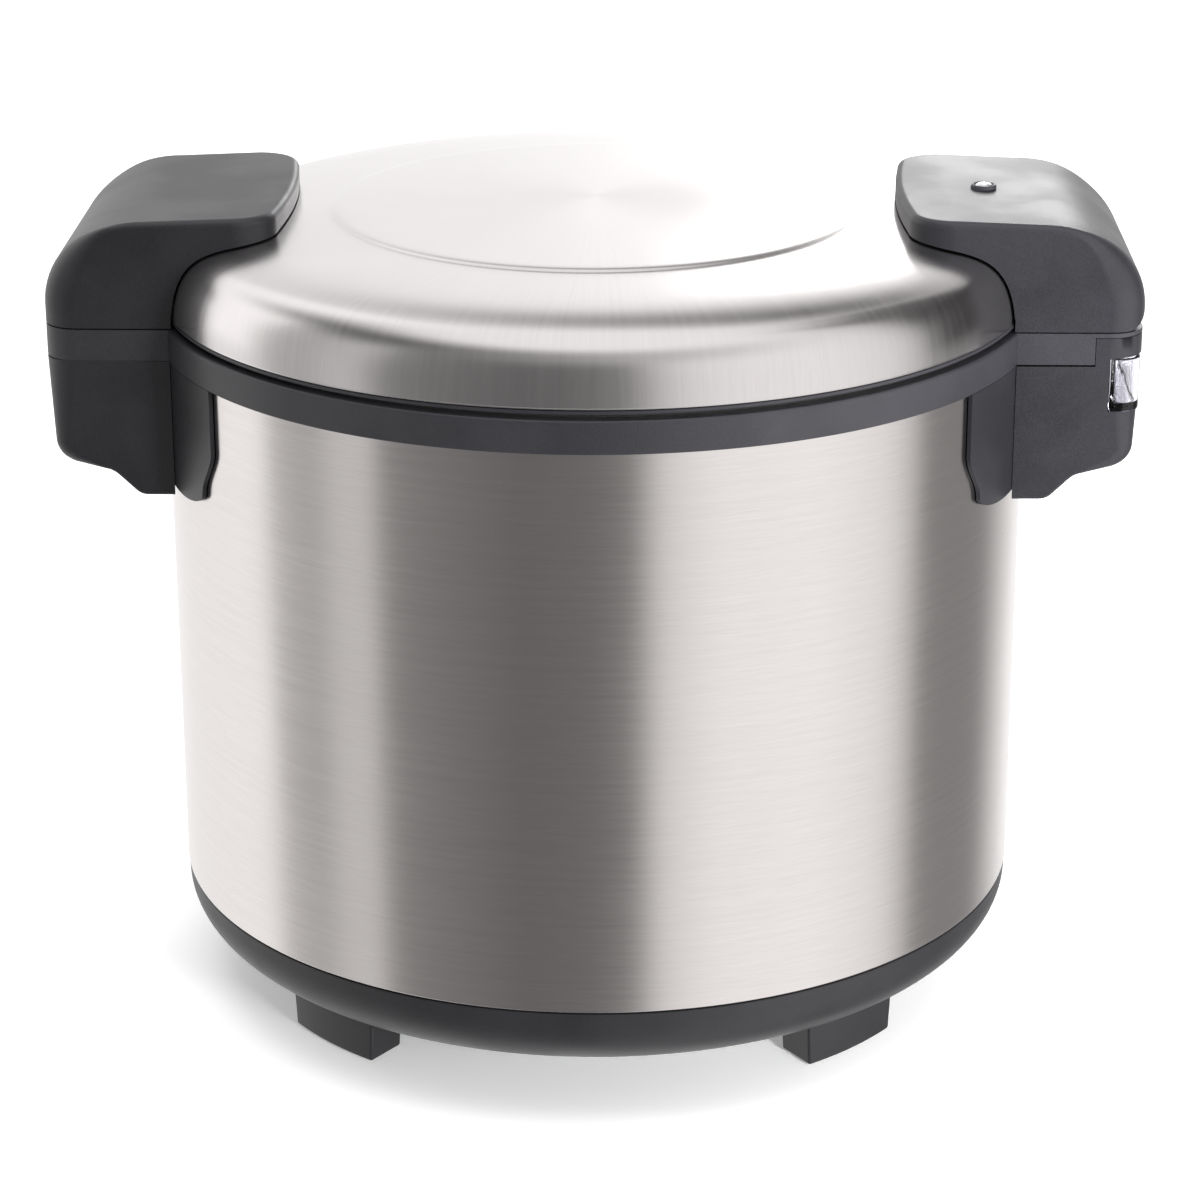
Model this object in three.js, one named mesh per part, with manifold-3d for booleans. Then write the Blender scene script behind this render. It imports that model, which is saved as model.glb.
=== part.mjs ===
// Commercial rice cooker and warmer: a brushed steel drum on a black base, with a hinged steel lid.
// Millimetres, +Z up. The origin is on the resting plane, on the drum's centre line.
// +X points to the rear, where the lid hinges, and -X to the front, where it latches.
import * as THREE from 'three';
import { mergeVertices } from 'three/addons/utils/BufferGeometryUtils.js';
import Module from 'manifold-3d';

const wasm = await Module();
wasm.setup();

// ---- driving dimensions ----
const GAP = 0.3;
const ROUND = 60;              // segments of the large turned pieces outside
const INNER = 40;              // and of those inside
const DRUM_R = 200;
const DRUM_BOTTOM = 57;
const DRUM_TOP = 318.6;
const STEEL = 1.2;
const WALL = 3;                // moulded plastic walls

const BASE_TOP = 56.2;
const BASE_TOP_R = 199.5;
const BASE_FLOOR = 22.9;

const FOOT_OUTER_R = 173;
const FOOT_INNER_R = 151;
const FOOT_ARC = THREE.MathUtils.degToRad(19);
const FOOT_LIFT = 0.8;         // the rubber pad stands this far below the block

const BAND_R = 202.8;
const BAND_BOTTOM = 316.3;
const BAND_TOP = 331;
const RING_BORE_R = 184.5;     // the well that the pot's rim sits in
const LEDGE_Z = 323;
const LEDGE_R = 175.5;

const LINER_R = 172;
const LINER_WALL = 1.4;
const LINER_BOTTOM = 72;
const POT_R = 168;
const POT_WALL = 2.4;
const POT_BOTTOM = 84.6;
const POT_RIM_TOP = 326.8;

const LID_RIM_Z = 335;
const LID_RIM_R = 200.6;
const LID_STEEL = 1.2;
const DISC_R = 120;            // the raised disc in the middle of the lid

const ARM_HALF = 68;           // half the width of a side block
const BLOCK_INNER_X = 150;     // the blocks are drawn in to here, then cut to the drum
const ARM_TOP = 382.6;           // at the inner end, from where the top falls outwards
const ARM_FALL = 0.04;
const ARM_INNER_X = 142;
const ARM_OUTER_X = 246;
const ARM_CORNER = 48;           // how far in the big curve over the outer end reaches
const ARM_BOTTOM = 331.6;
const CORNER_R = 9;            // the upright edges at a side block's outer end
const REAR_OUTER_X = 249;      // the rear arm stands a little further out

const HINGE_X = 240;
const HINGE_Z = 340.5;
const KNUCKLE_R = REAR_OUTER_X - HINGE_X;
const PIN_R = 3;
const HINGE_WALL = 2.6;        // the arm's wall around the hinge spring
const LUG_Y = 32;              // the ring's two hinge lugs, either side of the middle
const LUG_HALF = 6;

const GRIP_TOP = 315.6;
const GRIP_CEILING = 290;      // over the fingers
const BRACKET_R = DRUM_R + 0.3;
const BRACKET_T = 2;
const HOUSING_R = BRACKET_R + BRACKET_T + GAP;

const CUP_INNER_X = 233;
const CUP_OUTER_X = 247;
const CUP_HALF = 69;
const CUP_BOTTOM = 295;
const CUP_TOP = 319;
const CUP_WALL = 1.8;

const VENT_X = 179;

const HOOK_X = -229;           // the latch hook's pivot
const HOOK_Z = 358;
const HOOK_PIN_R = 2;

const CONTROL_Z = 305.5;       // the row of controls on the front housing's end face
const ROCKER_Y = -30;
const BUTTON_HOLE_R = 7.6;
const LAMP_HOLE_R = 4.3;
const LAMPS_Y = [22, 40];

const SCREW_ANGLE = THREE.MathUtils.degToRad(15);
const SCREW_Z = 276;
const SCREW_R = 2;

const BASE_SCREW_RING = 118;
const INLET_Z = 86;

// ---- finishes ----
function finish(color, roughness, metalness) {
  return new THREE.MeshStandardMaterial({ color, roughness, metalness });
}
const steel = finish(0xc9c8c6, 0.32, 1);
const spunAluminium = finish(0xb9bbbd, 0.4, 1);
const blackPlastic = finish(0x2a2b2e, 0.45, 0);
const rubber = finish(0x1c1c1d, 0.85, 0);
const silicone = finish(0xd8d6d0, 0.6, 0);
const springSteel = finish(0x8f9093, 0.35, 1);
const glassWool = finish(0xd9cf9c, 0.95, 0);
const mica = finish(0xb59a6b, 0.7, 0);
const castAluminium = finish(0x9a9b9d, 0.55, 1);
const clearPlastic = finish(0xdde0ee, 0.1, 0);
const amberLens = finish(0xe08a1e, 0.2, 0);
const greenLens = finish(0x3f9d4a, 0.2, 0);
const redLens = finish(0xb8372c, 0.2, 0);

const group = new THREE.Group();

// ---- geometry helpers ----

// Merges shared corners, drops collapsed triangles and turns the faces outwards.
function closed(geometry) {
  geometry.deleteAttribute('normal');
  geometry.deleteAttribute('uv');
  const merged = mergeVertices(geometry, 1e-3);
  const index = merged.index.array;
  const at = merged.attributes.position.array;
  const kept = [];
  let volume = 0;
  for (let i = 0; i < index.length; i += 3) {
    const [a, b, c] = [index[i], index[i + 1], index[i + 2]];
    if (a === b || b === c || c === a) continue;
    kept.push(a, b, c);
    const p = new THREE.Vector3().fromArray(at, 3 * a);
    const q = new THREE.Vector3().fromArray(at, 3 * b);
    const r = new THREE.Vector3().fromArray(at, 3 * c);
    volume += p.dot(q.cross(r));
  }
  merged.setIndex(volume < 0 ? kept.reverse() : kept);
  return merged;
}

function solid(geometry) {
  const shape = closed(geometry);
  const vertProperties = new Float32Array(shape.attributes.position.array);
  const triVerts = new Uint32Array(shape.index.array);
  return new wasm.Manifold(new wasm.Mesh({ numProp: 3, vertProperties, triVerts }));
}

function add(name, shape, material) {
  let geometry = shape;
  if (shape instanceof wasm.Manifold) {
    const cut = shape.getMesh();
    geometry = new THREE.BufferGeometry();
    geometry.setAttribute('position', new THREE.BufferAttribute(new Float32Array(cut.vertProperties), 3));
    geometry.setIndex(new THREE.BufferAttribute(new Uint32Array(cut.triVerts), 1));
  } else {
    geometry = closed(shape);
  }
  geometry.computeVertexNormals();
  const mesh = new THREE.Mesh(geometry, material);
  mesh.name = name;
  group.add(mesh);
  return mesh;
}

// Turns a profile of [radius, height] points about the Z axis.
function turned(profile, segments = ROUND) {
  const points = profile.map(([r, z]) => new THREE.Vector2(r, z));
  if (profile[0][0] > 0) points.push(points[0].clone());
  return new THREE.LatheGeometry(points, segments).rotateX(Math.PI / 2);
}

function shapeOf(points) {
  return new THREE.Shape(points.map(([x, y]) => new THREE.Vector2(x, y)));
}

// Points of an arc about (cx, cy), both ends included.
function arc(cx, cy, radius, from, to, steps) {
  const points = [];
  for (let i = 0; i <= steps; i++) {
    const a = THREE.MathUtils.degToRad(from + (to - from) * i / steps);
    points.push([cx + radius * Math.cos(a), cy + radius * Math.sin(a)]);
  }
  return points;
}

// Extrudes an (x, z) outline across Y, half each side, with its side edges eased by bevel.
function acrossY(outline, half, bevel = 0) {
  const options = { depth: 2 * (half - bevel), bevelEnabled: bevel > 0, steps: 1 };
  Object.assign(options, { bevelSize: bevel, bevelThickness: bevel, bevelOffset: -bevel, bevelSegments: 3 });
  const slab = new THREE.ExtrudeGeometry(shapeOf(outline), options).rotateX(Math.PI / 2);
  return slab.translate(0, half - bevel, 0);
}

// Extrudes an (x, y) outline from z0 up to z1.
function upZ(outline, z0, z1) {
  const options = { depth: z1 - z0, bevelEnabled: false };
  return new THREE.ExtrudeGeometry(shapeOf(outline), options).translate(0, 0, z0);
}

function box(x0, x1, y0, y1, z0, z1) {
  const middle = [(x0 + x1) / 2, (y0 + y1) / 2, (z0 + z1) / 2];
  return new THREE.BoxGeometry(x1 - x0, y1 - y0, z1 - z0).translate(...middle);
}

// A rod along Y.
function rodY(radius, y0, y1, x, z, segments = 24) {
  return new THREE.CylinderGeometry(radius, radius, y1 - y0, segments).translate(x, (y0 + y1) / 2, z);
}

// A rod along X.
function rodX(radius, x0, x1, y, z, segments = 24) {
  const rod = new THREE.CylinderGeometry(radius, radius, x1 - x0, segments).rotateZ(Math.PI / 2);
  return rod.translate((x0 + x1) / 2, y, z);
}

// A rod along Z.
function rodZ(radius, z0, z1, x, y, segments = 24) {
  const rod = new THREE.CylinderGeometry(radius, radius, z1 - z0, segments).rotateX(Math.PI / 2);
  return rod.translate(x, y, (z0 + z1) / 2);
}

class Helix extends THREE.Curve {
  constructor(radius, height, turns) {
    super();
    Object.assign(this, { radius, height, turns });
  }
  getPoint(t) {
    const a = 2 * Math.PI * this.turns * t;
    return new THREE.Vector3(this.radius * Math.cos(a), this.radius * Math.sin(a), this.height * t);
  }
}

function coilSpring(radius, wire, height, turns) {
  const section = new THREE.Shape().absarc(0, 0, wire / 2, 0, 2 * Math.PI);
  const options = { steps: 8 * turns, curveSegments: 3, extrudePath: new Helix(radius, height, turns) };
  return new THREE.ExtrudeGeometry(section, options);
}

// ---- base ----
function makeBase() {
  const depth = 30.6;
  const width = 41.2;
  const end = 1.205;
  const skirt = (inset) => {
    const points = [];
    for (let i = 0; i <= 6; i++) {
      const t = end * i / 6;
      const r = BASE_TOP_R - width + width * Math.cos(t) - inset * Math.cos(t);
      points.push([r, 51.3 - depth * Math.sin(t) + inset * Math.sin(t)]);
    }
    return points;
  };
  const outer = skirt(0);
  const inner = skirt(WALL).reverse();
  const floor = [[0, BASE_FLOOR], [FOOT_OUTER_R - 1, BASE_FLOOR]];
  const inside = [[FOOT_OUTER_R - 6, BASE_FLOOR + WALL], [0, BASE_FLOOR + WALL]];
  const lip = [[BASE_TOP_R, BASE_TOP], [198.2, BASE_TOP], [198.2, 62], [BASE_TOP_R - WALL, 62]];
  let pan = solid(turned([...floor, ...outer.reverse(), ...lip, ...inner.reverse(), ...inside]));
  for (let i = 0; i < 12; i++) {
    const slot = box(50, 90, -3, 3, BASE_FLOOR - 1, BASE_FLOOR + WALL + 1).rotateZ(Math.PI * i / 6);
    pan = pan.subtract(solid(slot));
  }
  for (let i = 0; i < 4; i++) {
    const angle = Math.PI * i / 2;
    const hole = rodZ(SCREW_R + 0.4, BASE_FLOOR - 1, BASE_FLOOR + WALL + 1, BASE_SCREW_RING, 0, 16);
    pan = pan.subtract(solid(hole.rotateZ(angle)));
    const seat = BASE_FLOOR - GAP;
    const head = [[0, 21.2], [3.4, 21.4], [4.2, seat], [SCREW_R, seat], [SCREW_R, 36], [0, 36]];
    add(`base_screw_${i + 1}`, turned(head, 16).translate(BASE_SCREW_RING, 0, 0).rotateZ(angle), springSteel);
  }
  add('base_pan', pan, blackPlastic);
}

// ---- feet: a moulded block and a rubber pad let into its underside, at 45 degrees ----
function footOutline(outerR, innerR, spread) {
  const degrees = THREE.MathUtils.radToDeg(spread / 2);
  return [...arc(0, 0, outerR, -degrees, degrees, 6), ...arc(0, 0, innerR, degrees, -degrees, 6)];
}

function makeFeet() {
  const names = ['rear_right', 'front_right', 'front_left', 'rear_left'];
  names.forEach((name, i) => {
    const angle = Math.PI / 4 + i * Math.PI / 2;
    const block = footOutline(FOOT_OUTER_R, FOOT_INNER_R, FOOT_ARC);
    const padSpread = FOOT_ARC - 0.045;
    const recess = footOutline(FOOT_OUTER_R - 3, FOOT_INNER_R + 3, padSpread);
    const pad = footOutline(FOOT_OUTER_R - 3.4, FOOT_INNER_R + 3.4, padSpread - 0.006);
    const body = solid(upZ(block, FOOT_LIFT, BASE_FLOOR - GAP));
    const pocket = solid(upZ(recess, 0, 3.5));
    add(`foot_${name}`, body.subtract(pocket), blackPlastic).rotateZ(angle);
    add(`foot_pad_${name}`, upZ(pad, 0, 3.2), rubber).rotateZ(angle);
  });
}

// ---- drum, with holes for the bracket screws and a window for the power inlet ----
function screwHole(angle) {
  return solid(rodX(SCREW_R + GAP, 190, 215, 0, SCREW_Z, 12).rotateZ(angle));
}
const screwAngles = [SCREW_ANGLE, -SCREW_ANGLE, Math.PI + SCREW_ANGLE, Math.PI - SCREW_ANGLE];

function makeDrum() {
  const inner = DRUM_R - STEEL;
  const wall = turned([[DRUM_R, DRUM_BOTTOM], [DRUM_R, DRUM_TOP], [inner, DRUM_TOP], [inner, DRUM_BOTTOM]]);
  let drum = solid(wall);
  for (const angle of screwAngles) drum = drum.subtract(screwHole(angle));
  const window = box(190, 210, -17, 17, INLET_Z - 13, INLET_Z + 13);
  add('drum_shell', drum.subtract(solid(window)), steel);
}

// The inlet's mouth is flush with the drum, and its flange is clamped behind the sheet.
function makeInlet() {
  const flange = solid(box(193.5, 196.8, -22, 22, INLET_Z - 18, INLET_Z + 18));
  const barrel = solid(box(180, 199, -16.6, 16.6, INLET_Z - 12.6, INLET_Z + 12.6));
  const socket = solid(box(183, 204, -13.5, 13.5, INLET_Z - 9.5, INLET_Z + 9.5));
  let inlet = flange.add(barrel).subtract(socket);
  const pins = [[-7, -2], [7, -2], [0, 3]];
  for (const [y, z] of pins) {
    inlet = inlet.add(solid(box(182, 190, y - 1, y + 1, INLET_Z + z - 2.5, INLET_Z + z + 2.5)));
  }
  add('power_inlet', inlet, blackPlastic);
}

// ---- inside the drum ----
function makeWell() {
  const outer = LINER_R + LINER_WALL;
  const bottom = LINER_BOTTOM + LINER_WALL;
  const flangeZ = LEDGE_Z + GAP;
  const profile = [[24, LINER_BOTTOM], [outer, LINER_BOTTOM], [outer, flangeZ], [183.6, flangeZ]];
  profile.push([183.6, flangeZ + 1.2], [LINER_R, flangeZ + 1.2], [LINER_R, bottom], [24, bottom]);
  add('inner_liner', turned(profile, INNER), spunAluminium);

  const blanket = solid(turned([[178, 68], [194, 68], [194, 300], [178, 300]], INNER));
  const room = solid(box(170, 200, -24, 24, INLET_Z - 20, INLET_Z + 20));
  add('insulation_blanket', blanket.subtract(room), glassWool);

  const bandR = outer + GAP;
  const strip = [[bandR, 190], [bandR + 1.6, 190], [bandR + 1.6, 240], [bandR, 240]];
  add('warming_band', turned(strip, INNER), mica);

  const plate = [[22, bottom + GAP], [126, bottom + GAP], [128, 76], [128, 82], [124, POT_BOTTOM - GAP]];
  add('heater_plate', turned([...plate, [22, POT_BOTTOM - GAP]], INNER), castAluminium);
}

function makePot() {
  const inner = POT_R - POT_WALL;
  const rimBottom = POT_RIM_TOP - 2;
  const corner = 22;
  const bottomOuter = arc(POT_R - corner, POT_BOTTOM + corner, corner, -90, 0, 4);
  const inside = corner - POT_WALL;
  const bottomInner = arc(POT_R - corner, POT_BOTTOM + corner, inside, 0, -90, 4);
  const rim = [[POT_R, rimBottom], [182.4, rimBottom], [182.4, POT_RIM_TOP], [inner, POT_RIM_TOP]];
  const profile = [[0, POT_BOTTOM], ...bottomOuter, ...rim, ...bottomInner, [0, POT_BOTTOM + POT_WALL]];
  add('inner_pot', turned(profile, INNER), spunAluminium);
}

// The sensor cap looks up through the heater plate at the pot's bottom, on a spring in its bracket.
function makeSensor() {
  const top = POT_BOTTOM - GAP;
  const cap = [[0, top], [17, top], [19, top - 2], [19, 76], [17.6, 76], [17.6, top - 3], [0, top - 3]];
  add('sensor_cap', turned(cap, 24), spunAluminium);
  const stool = turned([[0, 52], [20, 52], [20, 62], [18.6, 62], [18.6, 53.6], [0, 53.6]], 24);
  const strap = box(-60, 60, -8, 8, 50, 52.4);
  const legs = [box(-60, -57, -8, 8, 50, 71.4), box(57, 60, -8, 8, 50, 71.4)];
  let bracket = solid(stool).add(solid(strap));
  for (const leg of legs) bracket = bracket.add(solid(leg));
  add('sensor_bracket', bracket, springSteel);
  const spring = coilSpring(9, 1.6, 24.5, 6).translate(0, 0, 55);
  add('sensor_spring', spring, springSteel);
}

// ---- top ring: the band, the ledge for the pot and the two shelves of the side blocks ----
function makeTopRing() {
  const inner = BRACKET_R;
  const band = [[BAND_R, BAND_BOTTOM], [BAND_R, BAND_TOP - 1.5], [BAND_R - 1.5, BAND_TOP]];
  const ledge = [[RING_BORE_R + 2, BAND_TOP], [RING_BORE_R, BAND_TOP - 2], [RING_BORE_R, LEDGE_Z]];
  const seat = DRUM_TOP + GAP;
  const under = [[LEDGE_R, LEDGE_Z], [LEDGE_R, seat], [inner, seat], [inner, BAND_BOTTOM]];
  const ring = solid(turned([...band, ...ledge, ...under]));

  const hole = solid(rodZ(inner + 0.5, 300, 340, 0, 0, ROUND));
  const edge = CORNER_R;
  const outline = [[BLOCK_INNER_X, -ARM_HALF], ...arc(ARM_OUTER_X - edge, -ARM_HALF + edge, edge, -90, 0, 4)];
  outline.push(...arc(ARM_OUTER_X - edge, ARM_HALF - edge, edge, 0, 90, 4), [BLOCK_INNER_X, ARM_HALF]);
  const shelf = solid(upZ(outline, BAND_BOTTOM, BAND_TOP)).subtract(hole);
  const inside = ARM_HALF - WALL;
  const end = ARM_OUTER_X - WALL;
  const hollow = solid(box(207, end, -inside, inside, 310, BAND_TOP - 4));

  // The front shelf has a slot for the latch hook.
  const slot = solid(box(214, 238.2, -14, 14, 320, 340));
  const front = shelf.subtract(hollow).subtract(slot);

  // The rear shelf stops short of the cup: the rear housing rises around it there.
  let rear = shelf.subtract(hollow);
  rear = rear.subtract(solid(box(225.7, 250, -80, 80, 310, 329)));
  for (const y of [-LUG_Y, LUG_Y]) {
    const [left, right] = [y - LUG_HALF, y + LUG_HALF];
    const foot = solid(box(HINGE_X - 7.5, HINGE_X + 2, left, right, 322, HINGE_Z));
    const heel = solid(box(HINGE_X, HINGE_X + 6, left, right, BAND_TOP - 1, HINGE_Z));
    const knuckle = solid(rodY(KNUCKLE_R - 0.6, left, right, HINGE_X, HINGE_Z));
    rear = rear.add(foot).add(heel).add(knuckle);
  }
  const stiffener = solid(box(212, 241, -44, 44, 322, 330));
  rear = rear.add(stiffener).subtract(solid(rodY(PIN_R + GAP, -70, 70, HINGE_X, HINGE_Z)));
  add('top_ring', ring.add(rear).add(front.rotate([0, 0, 180])), blackPlastic);

  // The catch is a steel plate under the front shelf, with a window that the hook drops through.
  const plate = solid(box(-242.4, -211, -22, 22, 325, 326.6));
  const opening = solid(box(-235.8, -215, -15, 15, 320, 330));
  add('latch_catch', plate.subtract(opening), steel);
}

// ---- saddle brackets and grip housings, drawn for the rear and turned round for the front ----
function saddle() {
  const outer = BRACKET_R + BRACKET_T;
  const curve = [[BRACKET_R, 240], [outer, 240], [outer, 316], [BRACKET_R, 316]];
  const steps = [[34, 288], [31.5, 275], [30, 268.6], [25, 260], [23.5, 257]];
  const right = steps.map(([degrees, z]) => [BRACKET_R * Math.sin(THREE.MathUtils.degToRad(degrees)), z]);
  const left = right.map(([y, z]) => [-y, z]).reverse();
  const face = [[right[0][0], 316], ...right, ...left, [left[left.length - 1][0], 316]];
  // The outline stands in the YZ plane, and is pushed through the front half of the sleeve.
  const depth = { depth: 130, bevelEnabled: false };
  const punch = new THREE.ExtrudeGeometry(shapeOf(face), depth).rotateX(Math.PI / 2).rotateZ(Math.PI / 2);
  let plate = solid(turned(curve, 144)).intersect(solid(punch.translate(100, 0, 0)));
  for (const angle of [SCREW_ANGLE, -SCREW_ANGLE]) plate = plate.subtract(screwHole(angle));
  return plate;
}

function housingOutline() {
  const heel = [[BLOCK_INNER_X, 252.5], [187, 252.5], [203.5, 252.8], [207.5, 254]];
  const toe = [[211.5, 257.5], [217, 263], [224, 266], [233, 267.5], ...arc(237, 276.5, 9, -70, 0, 4)];
  return [...heel, ...toe, [ARM_OUTER_X, GRIP_TOP], [BLOCK_INNER_X, GRIP_TOP]];
}

function housing(rear) {
  let shell = solid(acrossY(housingOutline(), ARM_HALF, 2));
  const clear = solid(rodZ(HOUSING_R, 200, 340, 0, 0, 144));
  const back = solid(rodZ(HOUSING_R + WALL, 200, 340, 0, 0, 144));
  const side = ARM_HALF - WALL;
  const end = (rear ? CUP_INNER_X - WALL - 0.6 : ARM_OUTER_X - WALL);
  const grip = box(BLOCK_INNER_X, ARM_OUTER_X - WALL, -side, side, 240, GRIP_CEILING - WALL);
  const fingers = solid(grip).subtract(back);
  const above = solid(box(BLOCK_INNER_X, end, -side, side, GRIP_CEILING, 330)).subtract(back);
  if (rear) {
    // Walls carried up around the cup, and the recess that the cup slides into.
    const rim = solid(box(226, ARM_OUTER_X, -ARM_HALF, ARM_HALF, GRIP_TOP - 2, 328.7));
    const room = solid(box(220, ARM_OUTER_X - WALL, -side, side, 300, 330));
    shell = shell.add(rim.subtract(room));
    const recess = solid(box(CUP_INNER_X - 0.5, 260, -80, 80, CUP_BOTTOM - 0.4, CUP_TOP + 0.4));
    shell = shell.subtract(fingers).subtract(above).subtract(recess);
  } else {
    shell = shell.subtract(fingers).subtract(above);
  }
  shell = shell.subtract(clear);
  for (const angle of [SCREW_ANGLE, -SCREW_ANGLE]) shell = shell.subtract(screwHole(angle));
  return shell;
}

// The openings for the rocker, the button and the two lamps, from x0 to x1.
function controlHoles(x0, x1) {
  const rocker = box(x0, x1, ROCKER_Y - 12, ROCKER_Y + 12, CONTROL_Z - 6, CONTROL_Z + 6);
  let holes = solid(rocker).add(solid(rodX(BUTTON_HOLE_R, x0, x1, 0, CONTROL_Z)));
  for (const y of LAMPS_Y) holes = holes.add(solid(rodX(LAMP_HOLE_R, x0, x1, y, CONTROL_Z)));
  return holes;
}

function makeSides() {
  add('saddle_bracket_rear', saddle(), blackPlastic);
  add('saddle_bracket_front', saddle().rotate([0, 0, 180]), blackPlastic);
  add('grip_housing_rear', housing(true), blackPlastic);

  const front = housing(false).rotate([0, 0, 180]);
  add('grip_housing_front', front.subtract(controlHoles(-ARM_OUTER_X - 1, -ARM_OUTER_X + 4)), blackPlastic);

  const head = HOUSING_R + WALL + GAP;
  screwAngles.forEach((angle, i) => {
    const shank = solid(rodX(SCREW_R, DRUM_R - 5, head + 1, 0, SCREW_Z, 12));
    const cap = solid(rodX(4.2, head, head + 2.4, 0, SCREW_Z, 18));
    const screw = shank.add(cap).rotate([0, 0, THREE.MathUtils.radToDeg(angle)]);
    add(`bracket_screw_${i + 1}`, screw, springSteel);
  });
}

function makeCup() {
  const outer = solid(box(CUP_INNER_X, CUP_OUTER_X, -CUP_HALF, CUP_HALF, CUP_BOTTOM, CUP_TOP));
  const side = CUP_HALF - CUP_WALL;
  const [near, far] = [CUP_INNER_X + CUP_WALL, CUP_OUTER_X - CUP_WALL];
  const inside = box(near, far, -side, side, CUP_BOTTOM + 3, CUP_TOP + 5);
  add('dew_cup', outer.subtract(solid(inside)), clearPlastic);
}

// ---- control strip on the front housing's end face ----
function makeControls() {
  const face = -ARM_OUTER_X - GAP;
  const bezel = solid(box(face - 1, face, -50, 50, CONTROL_Z - 8, CONTROL_Z + 8));
  add('control_bezel', bezel.subtract(controlHoles(face - 2, face + 1)), blackPlastic);

  // A seesaw key: flat at the back, with a shallow V across its face.
  const key = [[0, -9.5], [0, 9.5], [-5.2, 9.5], [-4.2, 0], [-5.2, -9.5]];
  const rocker = upZ(key, -5, 5).rotateZ(THREE.MathUtils.degToRad(-7));
  add('power_rocker', rocker.translate(face + 3.6, ROCKER_Y, CONTROL_Z), redLens);

  const button = [[0, -249], [5.6, -249], [6.8, -247.8], [6.8, -238], [0, -238]];
  const press = turned(button.map(([r, x]) => [r, -x]).reverse(), 28).rotateY(-Math.PI / 2);
  add('cook_button', press.translate(0, 0, CONTROL_Z), clearPlastic);

  const lens = [[0, 236], [3.8, 236], [3.8, 247.6], [2.6, 248.6], [0, 249]];
  [['lamp_cook', amberLens], ['lamp_warm', greenLens]].forEach(([name, colour], i) => {
    add(name, turned(lens, 20).rotateY(-Math.PI / 2).translate(0, LAMPS_Y[i], CONTROL_Z), colour);
  });
}

// ---- lid ----
// The lid's outer curve from the rim up to the axis, as [radius, height].
function lidCurve(offset) {
  const skirt = [[LID_RIM_R, LID_RIM_Z], [200, 337.2], [198.9, 345], [196, 353], [190.6, 360.3]];
  const crown = [[181.5, 365.8], [168, 369.2], [150, 371], [DISC_R + 3, 372.6]];
  const disc = [[DISC_R, 374], [DISC_R - 8, 374.6], [60, 376.5], [0, 377]];
  return [...skirt, ...crown, ...disc].map(([r, z], i) => {
    const lean = Math.min(i, 6) / 6;
    const flat = r === 0 ? 0 : (1 - lean * 0.85);
    return [Math.max(0, r + offset * flat), z + offset * (i === 0 ? 0 : lean)];
  });
}

function makeLid() {
  const outside = lidCurve(0).reverse();
  const inside = lidCurve(-LID_STEEL).slice(0, -1);
  const crown = outside[0][1];
  const sheet = [...outside, ...inside, [0, crown - LID_STEEL]];
  add('lid_shell', turned(sheet), steel);

  const foot = [[193.4, 332.8], [200.2, 332.8], [200.2, LID_RIM_Z - GAP]];
  add('lid_ring', turned([...foot, [196, LID_RIM_Z - GAP], [196, 343], [193.4, 343]]), blackPlastic);

  const gasket = [[188.6, 331.4], [192.6, 331.4], [192.9, 338], [190.4, 338], [188.6, 336]];
  add('lid_gasket', turned(gasket, INNER), silicone);
  const dish = [[0, 340.5], [150, 340.5], [166, 334], [188.2, 334], [188.2, 335.4], [166.8, 335.4]];
  add('inner_lid', turned([...dish, [150.8, 341.9], [0, 341.9]], INNER), spunAluminium);
  const wool = [[0, 345], [160, 345], [166, 352], [166, 364], [150, 366], [0, 366]];
  add('lid_insulation', turned(wool, INNER), glassWool);
}

// ---- arms: hollow mouldings over the lid's edge ----
function lidClearance(gap) {
  const curve = lidCurve(gap);
  curve[0] = [LID_RIM_R + gap, 320];
  return solid(turned([[0, 320], ...curve.slice(0, -1), [0, 377 + gap]]));
}

function armTop(x) {
  return ARM_TOP - ARM_FALL * (x - ARM_INNER_X);
}

// The big curve over an arm's outer end, from the hinge pin's height up to the top, moved out by an offset.
function armCurve(outerX, offset, from, to, steps) {
  const centre = outerX - ARM_CORNER;
  const rise = armTop(centre) - HINGE_Z + offset;
  return arc(0, 0, 1, from, to, steps).map(([x, z]) =>
    [centre + (ARM_CORNER + offset) * x, HINGE_Z + rise * z]);
}

// The side view of an arm, or of its hollow when inset is the wall, down to a bottom line.
function armSide(outerX, inset, bottom) {
  const corner = armCurve(outerX, -inset, 0, 90, 8);
  const around = arc(HINGE_X, HINGE_Z, KNUCKLE_R - Math.min(inset, HINGE_WALL), -90, 0, 6);
  const drop = inset > 0 ? [[HINGE_X, bottom]] : [];
  const end = outerX === REAR_OUTER_X ? [...drop, ...around] : [[outerX - inset, bottom]];
  return [[ARM_INNER_X - 18, bottom], ...end, ...corner, [ARM_INNER_X - 18, armTop(ARM_INNER_X - 18) - inset]];
}

// The plan view: a rounded and slightly bowed inner end.
function armPlan(inset) {
  const near = ARM_INNER_X + inset;
  const half = ARM_HALF - inset;
  const r = 20 - inset;
  const bow = 3;
  const points = [[270, -half], [270, half], ...arc(near + r, half - r, r, 90, 180, 5)];
  for (let i = 1; i < 6; i++) {
    const t = i / 3 - 1;
    points.push([near - bow * (1 - t * t), (half - r) * -t]);
  }
  points.push(...arc(near + r, -half + r, r, 180, 270, 5));
  return solid(upZ(points, 300, 400));
}

function arm(outerX) {
  const body = solid(acrossY(armSide(outerX, 0, ARM_BOTTOM), ARM_HALF, 3));
  const hollow = solid(acrossY(armSide(outerX, WALL, ARM_BOTTOM - 10), ARM_HALF - WALL));
  const shell = body.intersect(armPlan(0)).subtract(hollow.intersect(armPlan(WALL)));
  return shell.subtract(lidClearance(0.8));
}

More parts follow.
